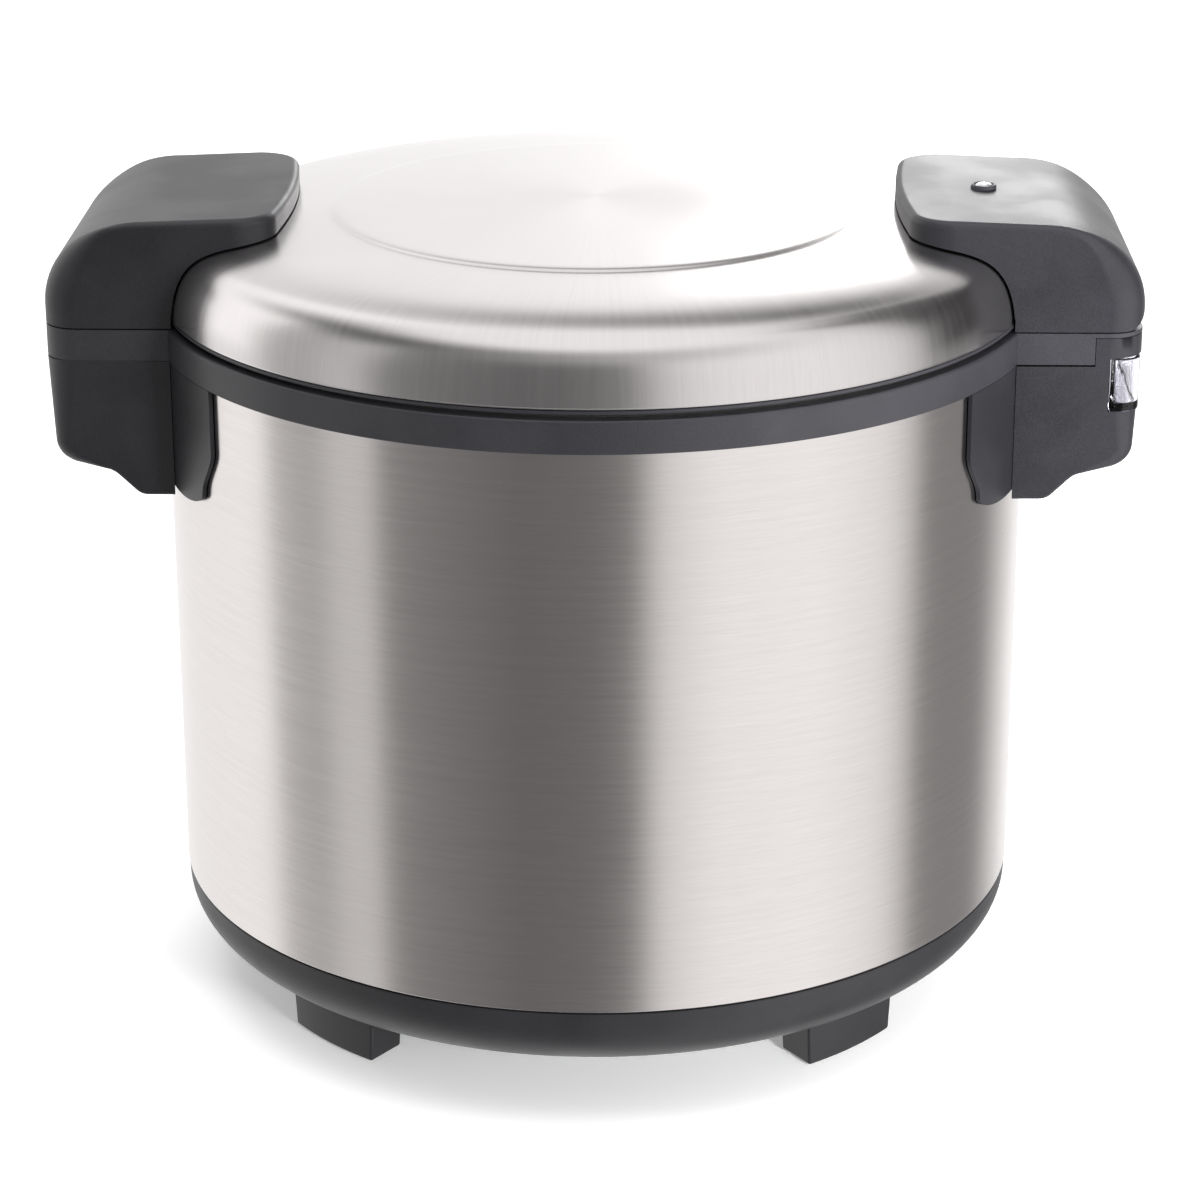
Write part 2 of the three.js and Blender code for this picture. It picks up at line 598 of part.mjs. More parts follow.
function makeArms() {
  let rear = arm(REAR_OUTER_X);
  for (const y of [-44.5, -20, 20, 44.5]) {
    rear = rear.add(solid(rodY(KNUCKLE_R - 0.02, y - 5, y + 5, HINGE_X, HINGE_Z)));
  }
  rear = rear.subtract(solid(rodY(PIN_R + GAP, -48.2, 48.2, HINGE_X, HINGE_Z)));
  const notch = LUG_HALF + 0.5;
  for (const y of [-LUG_Y, LUG_Y]) {
    rear = rear.subtract(solid(box(228, 255, y - notch, y + notch, 320, 352)));
  }
  rear = rear.subtract(solid(rodZ(4.4, 370, 400, VENT_X, 0)));
  add('rear_arm', rear, blackPlastic);
  add('hinge_pin', rodY(PIN_R, -47.8, 47.8, HINGE_X, HINGE_Z), springSteel);
  const coil = coilSpring(4.9, 1.3, 22, 9).rotateX(-Math.PI / 2).translate(HINGE_X, -11, HINGE_Z);
  add('hinge_spring', coil, springSteel);

  let front = arm(ARM_OUTER_X).rotate([0, 0, 180]);
  const window = solid(box(-260, -236, -25.4, 25.4, 335.6, 358.6));
  front = front.subtract(window);
  for (const y of [-18, 18]) {
    const boss = solid(acrossY(armSide(ARM_OUTER_X, 1, ARM_BOTTOM), 2)).rotate([0, 0, 180]);
    const web = solid(box(-231, -214, y - 2, y + 2, 351, 376));
    front = front.add(web.intersect(boss.translate([0, y, 0])));
  }
  front = front.subtract(solid(rodY(HOOK_PIN_R + GAP, -17.4, 17.4, HOOK_X, HOOK_Z)));
  add('front_arm', front, blackPlastic);
}

function makeVent() {
  const seat = armTop(VENT_X - 6) + GAP;
  const stem = [[3.4, 372.6], [4.1, 372.6], [4.1, seat], [6, seat]];
  const lip = [[6, seat + 0.8], [5.2, seat + 1.4], [3.4, seat + 1.4]];
  add('vent_collar', turned([...stem, ...lip], 20).translate(VENT_X, 0, 0), blackPlastic);
  const cap = [[0, 374.2], [2.6, 374.2], [2.6, seat + 0.4], [3.1, seat + 0.8], [3.1, seat + 1.4]];
  add('vent_cap', turned([...cap, [2.6, seat + 1.8], [0, seat + 1.8]], 20).translate(VENT_X, 0, 0), steel);
}

// ---- latch ----
function makeLatch() {
  // The button's face follows the arm's curve, three millimetres proud of it.
  const face = armCurve(ARM_OUTER_X, 3, 0, 24.4, 4).map(([x, z]) => [-x, z]).reverse();
  const outline = [[-249, 336], [-239.4, 336], [-239.4, 358.2], ...face];
  const stem = box(-240, -233.2, -8, 8, 337, 343);
  add('latch_button', solid(acrossY(outline, 25)).add(solid(stem)), blackPlastic);

  const barb = [[-226, 319], [-232, 319], [-235, 324.6], [-231, 324.6]];
  const blade = [[-231, 362.5], [-227, 362.5], [-225, HOOK_Z], ...barb];
  const hook = solid(acrossY(blade, 12)).add(solid(rodY(4.6, -12, 12, HOOK_X, HOOK_Z)));
  const bore = solid(rodY(HOOK_PIN_R + GAP, -13, 13, HOOK_X, HOOK_Z));
  add('latch_hook', hook.subtract(bore), springSteel);
  add('hook_pin', rodY(HOOK_PIN_R, -17.1, 17.1, HOOK_X, HOOK_Z), springSteel);
}

makeBase();
makeFeet();
makeDrum();
makeInlet();
makeWell();
makePot();
makeSensor();
makeTopRing();
makeSides();
makeCup();
makeControls();
makeLid();
makeArms();
makeVent();
makeLatch();

export default group;
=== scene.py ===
import math

import bmesh
import bpy
from mathutils import Matrix, Vector


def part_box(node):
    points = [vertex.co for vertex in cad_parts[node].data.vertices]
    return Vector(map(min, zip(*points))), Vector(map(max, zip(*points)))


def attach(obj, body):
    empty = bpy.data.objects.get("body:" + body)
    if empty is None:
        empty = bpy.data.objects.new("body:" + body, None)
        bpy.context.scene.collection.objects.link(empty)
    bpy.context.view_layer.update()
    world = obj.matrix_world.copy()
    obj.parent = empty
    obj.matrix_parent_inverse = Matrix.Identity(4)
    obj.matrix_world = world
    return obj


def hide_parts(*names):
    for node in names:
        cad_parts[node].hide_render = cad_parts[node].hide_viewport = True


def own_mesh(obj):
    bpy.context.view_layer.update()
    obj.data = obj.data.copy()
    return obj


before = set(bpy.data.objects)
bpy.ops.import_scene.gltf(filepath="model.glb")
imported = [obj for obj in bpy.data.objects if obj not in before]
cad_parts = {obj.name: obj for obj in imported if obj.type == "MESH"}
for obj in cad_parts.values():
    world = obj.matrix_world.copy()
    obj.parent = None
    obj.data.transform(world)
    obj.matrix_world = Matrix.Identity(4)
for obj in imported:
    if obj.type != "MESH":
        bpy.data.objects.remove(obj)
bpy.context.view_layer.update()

# ---- Viewpoint ----
# A long lens a little over a metre and a half off the side of the cooker, looking down at its lid.
EYE = (0.0394, -1.6244, 0.7758)
HEADING, PITCH, ROLL = (math.radians(degrees) for degrees in (1.327, 20.208, -0.133))
camera = bpy.data.objects.new("camera", bpy.data.cameras.new("camera"))
bpy.context.scene.collection.objects.link(camera)
camera.data.lens = 107.9
camera.data.sensor_width = 36
aim = Matrix.Rotation(HEADING, 4, "Z") @ Matrix.Rotation(math.pi / 2 - PITCH, 4, "X")
camera.matrix_world = Matrix.Translation(EYE) @ aim @ Matrix.Rotation(ROLL, 4, "Z")
bpy.context.scene.camera = camera
bpy.context.scene.view_settings.view_transform = "Standard"


# ---- Studio floor ----
# A wide pale sheet. The steel doesn't mirror it, because the surroundings below already hold its light.
def fed(tree, made, inputs):
    """Sets a node's inputs. A value is a number, a colour or the socket that feeds it."""
    for name, value in inputs.items():
        if isinstance(value, bpy.types.NodeSocket):
            tree.links.new(value, made.inputs[name])
        else:
            made.inputs[name].default_value = value
    return made


def node(tree, kind, inputs=None, **settings):
    made = tree.nodes.new(kind)
    for name, value in settings.items():
        setattr(made, name, value)
    return fed(tree, made, inputs or {})


def finish(name):
    """A new material with an empty node tree, its Principled shader and its output."""
    material = bpy.data.materials.new(name)
    material.use_nodes = True
    tree = material.node_tree
    tree.nodes.clear()
    shader = node(tree, "ShaderNodeBsdfPrincipled")
    node(tree, "ShaderNodeOutputMaterial", {"Surface": shader.outputs["BSDF"]})
    return material, tree, shader


FLOOR_HALF = 7.0
paper, tree, shader = finish("floor_paper")
fed(tree, shader, {"Base Color": (0.93, 0.93, 0.93, 1), "Roughness": 0.9, "Specular IOR Level": 0.1,
                   "Emission Color": (1, 1, 1, 1), "Emission Strength": 0.3})
sheet = bpy.data.meshes.new("floor")
corners = [(FLOOR_HALF * x, FLOOR_HALF * y, 0) for x, y in ((-1, -1), (1, -1), (1, 1), (-1, 1))]
sheet.from_pydata(corners, [], [(0, 1, 2, 3)])
sheet.materials.append(paper)
floor = bpy.data.objects.new("floor", sheet)
bpy.context.scene.collection.objects.link(floor)
floor.visible_glossy = False


# ---- Studio surroundings ----
# The dim camera side, the bright banks to the left and right of it, the pale backdrop and the soft box
# overhead, all as one sky. Bearings are in degrees from the camera side, positive towards the hinge.
AROUND_LOW = [(-180, 0.86), (-165, 0.78), (-150, 0.72), (-98, 0.80), (-92, 0.40), (-78, 0.33), (-71, 0.50),
              (-60, 0.53), (-56, 0.19), (-36, 0.15), (-18, 0.115), (0, 0.13), (11, 0.17), (19, 0.62),
              (34, 0.78), (62, 0.82), (84, 0.72), (93, 0.52), (98, 0.20), (128, 0.20), (141, 0.50),
              (152, 0.72), (166, 0.86), (180, 0.86)]
AROUND_HIGH = [(-180, 0.30), (-165, 0.50), (-150, 0.72), (-135, 0.70), (-115, 0.28), (-100, 0.10),
               (-75, 0.08), (-40, 0.18), (0, 0.32), (40, 0.6), (70, 0.77), (92, 0.66), (125, 0.55),
               (145, 0.15), (160, 0.10), (171, 0.26), (180, 0.30)]
OVERHEAD = 0.84
# Above the horizon, a lamp bank on the latch side and a black flag on the hinge side: the bearings from
# and to, and how much lighter or darker they make the sky there.
BANKS = [(-150, -97, 1.3), (96, 135, 0.18)]
BANK_FADE = 4
SKY_STRENGTH = 1.45


def ramp(tree, factor, stops):
    """A grey ramp. Each stop is a place from 0 to 1 and a grey."""
    made = node(tree, "ShaderNodeValToRGB", {"Fac": factor})
    elements = made.color_ramp.elements
    for element, (place, grey) in zip((elements[0], elements[1]), (stops[0], stops[-1])):
        element.position = place
        element.color = (grey, grey, grey, 1)
    for place, grey in stops[1:-1]:
        elements.new(place).color = (grey, grey, grey, 1)
    return made.outputs["Color"]


def math_node(tree, operation, *values):
    return node(tree, "ShaderNodeMath", dict(enumerate(values)), operation=operation).outputs["Value"]


def scaled(tree, vector, factor):
    made = node(tree, "ShaderNodeVectorMath", {0: vector, "Scale": factor}, operation="SCALE")
    return made.outputs["Vector"]


def rise(tree, value, start, end):
    """0 before start, 1 after end, and smooth between."""
    between = {"Value": value, "From Min": start, "From Max": end}
    made = node(tree, "ShaderNodeMapRange", between, interpolation_type="SMOOTHSTEP")
    return made.outputs["Result"]


def mixed(tree, factor, first, second):
    """The first colour where the factor is 0 and the second where it is 1."""
    return node(tree, "ShaderNodeMix", {0: factor, 6: first, 7: second}, data_type="RGBA").outputs[2]


sky = bpy.data.worlds.new("studio")
sky.use_nodes = True
bpy.context.scene.world = sky
tree = sky.node_tree
tree.nodes.clear()
toward = node(tree, "ShaderNodeTexCoord").outputs["Generated"]
part = node(tree, "ShaderNodeSeparateXYZ", {"Vector": toward})
bearing = math_node(tree, "ARCTAN2", part.outputs["X"], math_node(tree, "MULTIPLY", part.outputs["Y"], -1))
turn = math_node(tree, "MULTIPLY_ADD", bearing, 0.5 / math.pi, 0.5)
height = math_node(tree, "ARCSINE", part.outputs["Z"])
low_part = ramp(tree, turn, [(degrees / 360 + 0.5, grey) for degrees, grey in AROUND_LOW])
high_part = ramp(tree, turn, [(degrees / 360 + 0.5, grey) for degrees, grey in AROUND_HIGH])
rising = mixed(tree, rise(tree, height, math.radians(26), math.radians(46)), low_part, high_part)
above = rise(tree, height, math.radians(-12), math.radians(0))
degrees_round = math_node(tree, "MULTIPLY", bearing, 180 / math.pi)
for start, end, gain in BANKS:
    within = math_node(tree, "SUBTRACT", rise(tree, degrees_round, start - BANK_FADE, start + BANK_FADE),
                       rise(tree, degrees_round, end - BANK_FADE, end + BANK_FADE))
    share = math_node(tree, "MULTIPLY", math_node(tree, "MULTIPLY", within, above), gain - 1)
    rising = scaled(tree, rising, math_node(tree, "ADD", share, 1.0))
top_part = rise(tree, height, math.radians(48), math.radians(70))
light = mixed(tree, top_part, rising, (OVERHEAD, OVERHEAD, OVERHEAD, 1))
lit = node(tree, "ShaderNodeBackground", {"Color": light, "Strength": SKY_STRENGTH})
plain = node(tree, "ShaderNodeBackground", {"Color": (1, 1, 1, 1), "Strength": 1.0})
seen = node(tree, "ShaderNodeLightPath").outputs["Is Camera Ray"]
both = node(tree, "ShaderNodeMixShader", {0: seen, 1: lit.outputs[0], 2: plain.outputs[0]})
node(tree, "ShaderNodeOutputWorld", {"Surface": both.outputs[0]})


# ---- Lamps ----
# A large soft box over the cooker lights the paper, a narrow one lights the hinge side's black flank, and
# a panel behind gives the tops of the blocks their sheen.
def panel(name, place, target, width, length, power, glossy, spread=180):
    lamp = bpy.data.lights.new(name, "AREA")
    lamp.shape = "RECTANGLE"
    lamp.size = width
    lamp.size_y = length
    lamp.energy = power
    lamp.spread = math.radians(spread)
    holder = bpy.data.objects.new(name, lamp)
    bpy.context.scene.collection.objects.link(holder)
    holder.location = place
    holder.rotation_euler = (Vector(target) - Vector(place)).to_track_quat("-Z", "Y").to_euler()
    holder.visible_camera = False
    holder.visible_glossy = glossy


panel("overhead_box", (0, 0.3, 2.6), (0, 0, 0), 3.0, 3.0, 45, False)
panel("hinge_side_bank", (0.85, -1.3, 0.55), (0.26, 0, 0.32), 0.4, 0.4, 4.5, False, 40)
panel("back_sheen", (0.45, 2.0, 0.90), (0.15, 0, 0.38), 0.6, 0.5, 6, True)


# ---- Base pan ----
# The black moulded pan under the drum: a shallow floor with slots for air, a bellied skirt and a lip
# that stands up inside the drum. It is one injection moulding, screwed up into the chassis.
MM = 0.001
STEPS = 240


def extent(name):
    """The lowest and highest corner of a frame part, in millimetres."""
    return [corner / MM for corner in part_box(name)]


def shape_of(name, points, faces):
    """A new object from points in millimetres. Doubles are merged and the faces point outwards."""
    mesh = bpy.data.meshes.new(name)
    mesh.from_pydata([Vector(point) * MM for point in points], [], faces)
    work = bmesh.new()
    work.from_mesh(mesh)
    bmesh.ops.remove_doubles(work, verts=work.verts, dist=0.002 * MM)
    bmesh.ops.recalc_face_normals(work, faces=work.faces)
    work.to_mesh(mesh)
    work.free()
    made = bpy.data.objects.new(name, mesh)
    bpy.context.scene.collection.objects.link(made)
    return made


def eased(corners, step=12):
    """An outline from (x, y) corners. A third number rounds that corner off to that radius."""
    outline = []
    for i, corner in enumerate(corners):
        here = Vector(corner[:2])
        if len(corner) < 3:
            outline.append(tuple(here))
            continue
        back = (Vector(corners[i - 1][:2]) - here).normalized()
        on = (Vector(corners[(i + 1) % len(corners)][:2]) - here).normalized()
        half = back.angle(on) / 2
        centre = here + (back + on).normalized() * (corner[2] / math.sin(half))
        first = here + back * (corner[2] / math.tan(half)) - centre
        last = here + on * (corner[2] / math.tan(half)) - centre
        sweep = first.angle_signed(last)
        count = max(2, math.ceil(abs(math.degrees(sweep)) / step))
        for k in range(count + 1):
            spoke = first.copy()
            spoke.rotate(Matrix.Rotation(-sweep * k / count, 2))
            outline.append(tuple(centre + spoke))
    return outline


def oblong(low, high, radius, step=12):
    """A rectangle between two corners, with all four rounded off."""
    (x0, y0), (x1, y1) = low, high
    return eased([(x0, y0, radius), (x1, y0, radius), (x1, y1, radius), (x0, y1, radius)], step)


def turned(name, profile, steps=STEPS):
    """Turns a closed (radius, height) outline about the Z axis."""
    points, rings, faces = [], [], []
    for radius, z in profile:
        if radius < 1e-6:
            rings.append([len(points)] * steps)
            points.append((0, 0, z))
            continue
        rings.append(range(len(points), len(points) + steps))
        spokes = (2 * math.pi * k / steps for k in range(steps))
        points += [(radius * math.cos(a), radius * math.sin(a), z) for a in spokes]
    for one, two in zip(rings, rings[1:] + rings[:1]):
        for k in range(steps):
            corners = [one[k], one[(k + 1) % steps], two[(k + 1) % steps], two[k]]
            face = list(dict.fromkeys(corners))
            if len(face) > 2:
                faces.append(face)
    return shape_of(name, points, faces)


def prism(name, outline, low, high, along="z"):
    """Pushes an outline from low to high. The outline is (x, y), (x, z) or (y, z), by what it is along."""
    place = {"z": lambda p, t: (p[0], p[1], t), "y": lambda p, t: (p[0], t, p[1]),
             "x": lambda p, t: (t, p[0], p[1])}[along]
    count = len(outline)
    points = [place(p, low) for p in outline] + [place(p, high) for p in outline]
    faces = [list(range(count)), list(range(count, 2 * count))]
    faces += [(i, (i + 1) % count, (i + 1) % count + count, i + count) for i in range(count)]
    return shape_of(name, points, faces)


def block(name, low, high):
    (x0, y0, z0), (x1, y1, z1) = low, high
    return prism(name, [(x0, y0), (x1, y0), (x1, y1), (x0, y1)], z0, z1)


def rod(name, radius, low, high, place, along="z", steps=48):
    spokes = [2 * math.pi * k / steps for k in range(steps)]
    outline = [(place[0] + radius * math.cos(a), place[1] + radius * math.sin(a)) for a in spokes]
    return prism(name, outline, low, high, along)


def settled(piece):
    """Turns what the modifiers make into the piece's own mesh."""
    bpy.context.view_layer.update()
    graph = bpy.context.evaluated_depsgraph_get()
    made = bpy.data.meshes.new_from_object(piece.evaluated_get(graph), depsgraph=graph)
    piece.modifiers.clear()
    piece.data = made
    return piece


def joined(piece, tools, operation="DIFFERENCE"):
    """Cuts the tools from the piece, or joins them to it, and uses the tools up."""
    for tool in tools:
        cut = piece.modifiers.new("cut", "BOOLEAN")
        cut.solver = "EXACT"
        cut.operation = operation
        cut.object = tool
    settled(piece)
    for tool in tools:
        bpy.data.objects.remove(tool)
    return piece


def softened(piece, width, segments=2, angle=35):
    """Rounds off the edges that are sharper than the angle, as a mould or a press leaves them."""
    edge = piece.modifiers.new("edge", "BEVEL")
    edge.width = width * MM
    edge.segments = segments
    edge.limit_method = "ANGLE"
    edge.angle_limit = math.radians(angle)
    edge.use_clamp_overlap = True
    return settled(piece)


def smoothed(piece, angle=32):
    """Shades the piece smooth up to the angle, with its large faces kept flat."""
    piece.data.polygons.foreach_set("use_smooth", [True] * len(piece.data.polygons))
    piece.data.set_sharp_from_angle(angle=math.radians(angle))
    weigh = piece.modifiers.new("weigh", "WEIGHTED_NORMAL")
    weigh.keep_sharp = True
    return settled(piece)


def fitted(piece, material, body, slot, *nodes):
    """Gives the piece its finish, fixes it to its body and lets it stand for the frame's parts."""
    smoothed(piece)
    piece.data.materials.clear()
    piece.data.materials.append(material)
    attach(piece, body)
    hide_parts(*nodes)


def group(name, inputs, outputs):
    """An empty shader group with named sockets, and its two end nodes."""
    tree = bpy.data.node_groups.new(name, "ShaderNodeTree")
    for label, value in inputs.items():
        kind = "NodeSocketVector" if isinstance(value, tuple) else "NodeSocketFloat"
        tree.interface.new_socket(label, in_out="INPUT", socket_type=kind).default_value = value
    for label in outputs:
        tree.interface.new_socket(label, in_out="OUTPUT", socket_type="NodeSocketFloat")
    return tree, node(tree, "NodeGroupInput").outputs, node(tree, "NodeGroupOutput").inputs


def use(tree, effect, inputs):
    return node(tree, "ShaderNodeGroup", inputs, node_tree=effect).outputs


def raised(tree, height, strength, distance):
    """The normal of a surface with a fine relief, in metres."""
    values = {"Height": height, "Strength": strength, "Distance": distance}
    return node(tree, "ShaderNodeBump", values).outputs["Normal"]


def weighed(tree, first, first_share, second, second_share):
    """The sum of two values, each by its share."""
    rest = math_node(tree, "MULTIPLY", second, second_share)
    return math_node(tree, "MULTIPLY_ADD", first, first_share, rest)


# Handling marks: broad soft patches where hands and cloths have changed the shine, and a fine dust.
handling, given, out = group("handling", {"Place": (0, 0, 0), "Patch size": 0.05, "Grit size": 0.002},
                             ["Patches", "Grit"])
for label, size, detail in (("Patches", "Patch size", 3), ("Grit", "Grit size", 2)):
    scale = math_node(handling, "DIVIDE", 1.0, given[size])
    cloud = node(handling, "ShaderNodeTexNoise", {"Vector": given["Place"], "Scale": scale, "Detail": detail})
    handling.links.new(rise(handling, cloud.outputs["Fac"], 0.35, 0.65), out[label])


def moulded(name, dark, light, roughness, grain=0.0009, relief=0.00004):
    """Injection-moulded plastic: a spark-eroded grain, with patches of slightly different shine."""
    material, tree, shader = finish(name)
    place = node(tree, "ShaderNodeTexCoord").outputs["Object"]
    marks = use(tree, handling, {"Place": place, "Patch size": 0.045, "Grit size": grain})
    tint = weighed(tree, marks["Grit"], 0.35, marks["Patches"], 0.65)
    shine = math_node(tree, "MULTIPLY_ADD", marks["Patches"], 0.06, roughness - 0.03)
    fed(tree, shader, {"Base Color": mixed(tree, tint, dark, light), "Roughness": shine,
                       "Normal": raised(tree, marks["Grit"], 0.5, relief), "IOR": 1.5})
    return material


black_plastic = moulded("black_plastic", (0.010, 0.010, 0.012, 1), (0.016, 0.016, 0.019, 1), 0.42)
ring_plastic = moulded("ring_plastic", (0.016, 0.016, 0.019, 1), (0.024, 0.023, 0.027, 1), 0.40)
base_plastic = moulded("base_plastic", (0.013, 0.013, 0.015, 1), (0.020, 0.019, 0.022, 1), 0.46)

low, high = extent("base_pan")
pan_floor = low.z
PAN_WALL = 3
LIP_R, LIP_TOP = 198.2, high.z
LEDGE_Z = 56.2
SKIRT_DEPTH, SKIRT_WIDTH, SKIRT_END, SKIRT_TOP = 30.6, 41.2, 1.205, 51.3
skirt_r = high.x


def skirt(inset, steps=28):
    """The bellied side of the pan: part of an ellipse, from its top to the floor."""
    curve = []
    for k in range(steps + 1):
        t = SKIRT_END * k / steps
        r = skirt_r - SKIRT_WIDTH + (SKIRT_WIDTH - inset) * math.cos(t)
        curve.append((r, SKIRT_TOP - (SKIRT_DEPTH - inset) * math.sin(t)))
    return curve


outside, inside = skirt(0), skirt(PAN_WALL)
profile = [(0, pan_floor), *reversed(outside), *eased([(skirt_r, SKIRT_TOP), (skirt_r, LEDGE_Z, 0.8),
           (LIP_R, LEDGE_Z), (LIP_R, LIP_TOP, 0.5), (skirt_r - PAN_WALL, LIP_TOP, 0.5),
           (skirt_r - PAN_WALL, SKIRT_TOP)])[1:-1], *inside, (0, pan_floor + PAN_WALL)]
pan = turned("base_moulding", profile)


def grower(name, inputs):
    """An empty geometry tree with named inputs, and the sockets that they give."""
    tree = bpy.data.node_groups.new(name, "GeometryNodeTree")
    for label, kind in inputs.items():
        tree.interface.new_socket(label, in_out="INPUT", socket_type=f"NodeSocket{kind}")
    tree.interface.new_socket("Geometry", in_out="OUTPUT", socket_type="NodeSocketGeometry")
    return tree, node(tree, "NodeGroupInput").outputs


def given_out(tree, geometry, material):
    """The last nodes of a geometry tree: real geometry with its finish."""
    real = node(tree, "GeometryNodeRealizeInstances", {"Geometry": geometry})
    dressed = node(tree, "GeometryNodeSetMaterial", {"Geometry": real.outputs[0], "Material": material})
    node(tree, "NodeGroupOutput", {"Geometry": dressed.outputs[0]})
    return tree


def ring_tree():
    """Copies a piece round the Z axis, evenly, from a first angle."""
    tree, given = grower("pieces_round_the_axis", {"Piece": "Object", "Count": "Int", "First angle": "Float",
                                                   "Finish": "Material"})
    points = node(tree, "GeometryNodePoints", {"Count": given["Count"]})
    share = math_node(tree, "DIVIDE", 2 * math.pi, given["Count"])
    index = node(tree, "GeometryNodeInputIndex").outputs["Index"]
    angle = math_node(tree, "MULTIPLY_ADD", index, share, given["First angle"])
    spin = node(tree, "ShaderNodeCombineXYZ", {"Z": angle})
    spin = node(tree, "FunctionNodeEulerToRotation", {"Euler": spin.outputs["Vector"]})
    item = node(tree, "GeometryNodeObjectInfo", {"Object": given["Piece"]})
    laid = node(tree, "GeometryNodeInstanceOnPoints", {"Points": points.outputs[0],
                "Instance": item.outputs["Geometry"], "Rotation": spin.outputs["Rotation"]})
    return given_out(tree, laid.outputs["Instances"], given["Finish"])


def grown(name, tree, values):
    """A mesh made by a geometry tree from its named inputs."""
    host = bpy.data.objects.new(name, bpy.data.meshes.new(name))
    bpy.context.scene.collection.objects.link(host)
    maker = host.modifiers.new("maker", "NODES")
    maker.node_group = tree
    for socket in tree.interface.items_tree:
        if socket.in_out == "INPUT":
            maker[socket.identifier] = values[socket.name]
    return settled(host)


round_the_axis = ring_tree()


def ringed(name, item, count, first, material):
    """The item at count places round the axis. The item itself is used up."""
    values = {"Piece": item, "Count": count, "First angle": math.radians(first), "Finish": material}
    made = grown(name, round_the_axis, values)
    bpy.data.objects.remove(item)
    return made


SLOTS, SLOT_FROM, SLOT_TO, SLOT_HALF = 12, 50, 90, 3
CORNERS = 4
SCREW_RING = sum(corner.x for corner in extent("base_screw_1")) / 2
SCREW_HOLE_R = 2.4
through = (pan_floor - 2, pan_floor + PAN_WALL + 2)
slot = prism("slot", oblong((SLOT_FROM, -SLOT_HALF), (SLOT_TO, SLOT_HALF), SLOT_HALF - 0.1, 20), *through)
slots = ringed("slots", slot, SLOTS, 0, None)
hole = rod("hole", SCREW_HOLE_R, *through, (SCREW_RING, 0), steps=24)
holes = ringed("holes", hole, CORNERS, 0, None)
joined(pan, [slots, holes])
fitted(pan, base_plastic, "base", "black_plastic", "base_pan")


# ---- Base screws ----
# Four pan-head screws of zinc-plated steel with a cross recess. They are driven up from below, through
# the floor of the pan and into the chassis.
def plated(name, colour, roughness):
    """Zinc plate: bright, a little uneven and slightly blue."""
    material, tree, shader = finish(name)
    place = node(tree, "ShaderNodeTexCoord").outputs["Object"]
    marks = use(tree, handling, {"Place": place, "Patch size": 0.004, "Grit size": 0.0006})
    darker = tuple(channel * 0.72 for channel in colour[:3]) + (1,)
    shine = math_node(tree, "MULTIPLY_ADD", marks["Patches"], 0.14, roughness)
    fed(tree, shader, {"Base Color": mixed(tree, marks["Patches"], darker, colour), "Roughness": shine,
                       "Normal": raised(tree, marks["Grit"], 0.3, 0.00003), "Metallic": 1})
    return material


zinc = plated("zinc_plate", (0.55, 0.56, 0.58, 1), 0.28)


def screw(name, head_r, head, shank_r, length):
    """A screw with its seat at the origin and its head below, pointing up."""
    profile = eased([(0, -head), (head_r * 0.8, -head, 0.5), (head_r, 0, 0.3), (shank_r, 0),
                     (shank_r, length, 0.4), (0, length)])
    body = turned(name, profile, 32)
    arm, width = head_r * 0.55, head_r * 0.13
    cross = [block("cross", (-arm, -width, -head - 1), (arm, width, -head * 0.35)),
             block("cross", (-width, -arm, -head - 1), (width, arm, -head * 0.35))]
    return joined(body, cross)


low, high = extent("base_screw_1")
HEAD_R, SHANK_R = 4.2, 2
seat_z = pan_floor - 0.3
base_screw = screw("base_screw", HEAD_R, seat_z - low.z, SHANK_R, high.z - seat_z)
base_screw.data.transform(Matrix.Translation(Vector((SCREW_RING, 0, seat_z)) * MM))
base_screws = ringed("base_screws", base_screw, CORNERS, 0, zinc)
fitted(base_screws, zinc, "base", "spring_steel", *(f"base_screw_{i}" for i in range(1, CORNERS + 1)))


# ---- Feet ----
# Four block feet at 45 degrees, moulded in the pan's black plastic and hollow from below. A ribbed
# rubber pad is pressed into each.
FOOT_OUTER, FOOT_INNER, FOOT_SPREAD = 173, 151, 9.5
DRAFT = 0.955
PAD_INSET = 3.4
corner_names = ("rear_right", "front_right", "front_left", "rear_left")


def sector(outer, inner, spread, steps=8):
    sweep = [math.radians(spread * (2 * k / steps - 1)) for k in range(steps + 1)]
    arc = [(outer * math.cos(a), outer * math.sin(a)) for a in sweep]
    return arc + [(inner * math.cos(a), inner * math.sin(a)) for a in reversed(sweep)]


low, high = extent("foot_rear_right")
foot = prism("foot", sector(FOOT_OUTER, FOOT_INNER, FOOT_SPREAD), low.z, high.z)
middle = (FOOT_OUTER + FOOT_INNER) / 2 * MM
for vertex in foot.data.vertices:
    if vertex.co.z < (low.z + high.z) / 2 * MM:
        vertex.co.x = middle + (vertex.co.x - middle) * DRAFT
        vertex.co.y *= DRAFT
softened(foot, 1.3, 3, 40)
pocket = prism("pocket", sector(FOOT_OUTER - 3, FOOT_INNER + 3, FOOT_SPREAD - 1.3), -2, 3.5)
joined(foot, [pocket])
feet = ringed("feet", foot, CORNERS, 45, base_plastic)
fitted(feet, base_plastic, "base", "black_plastic", *(f"foot_{name}" for name in corner_names))

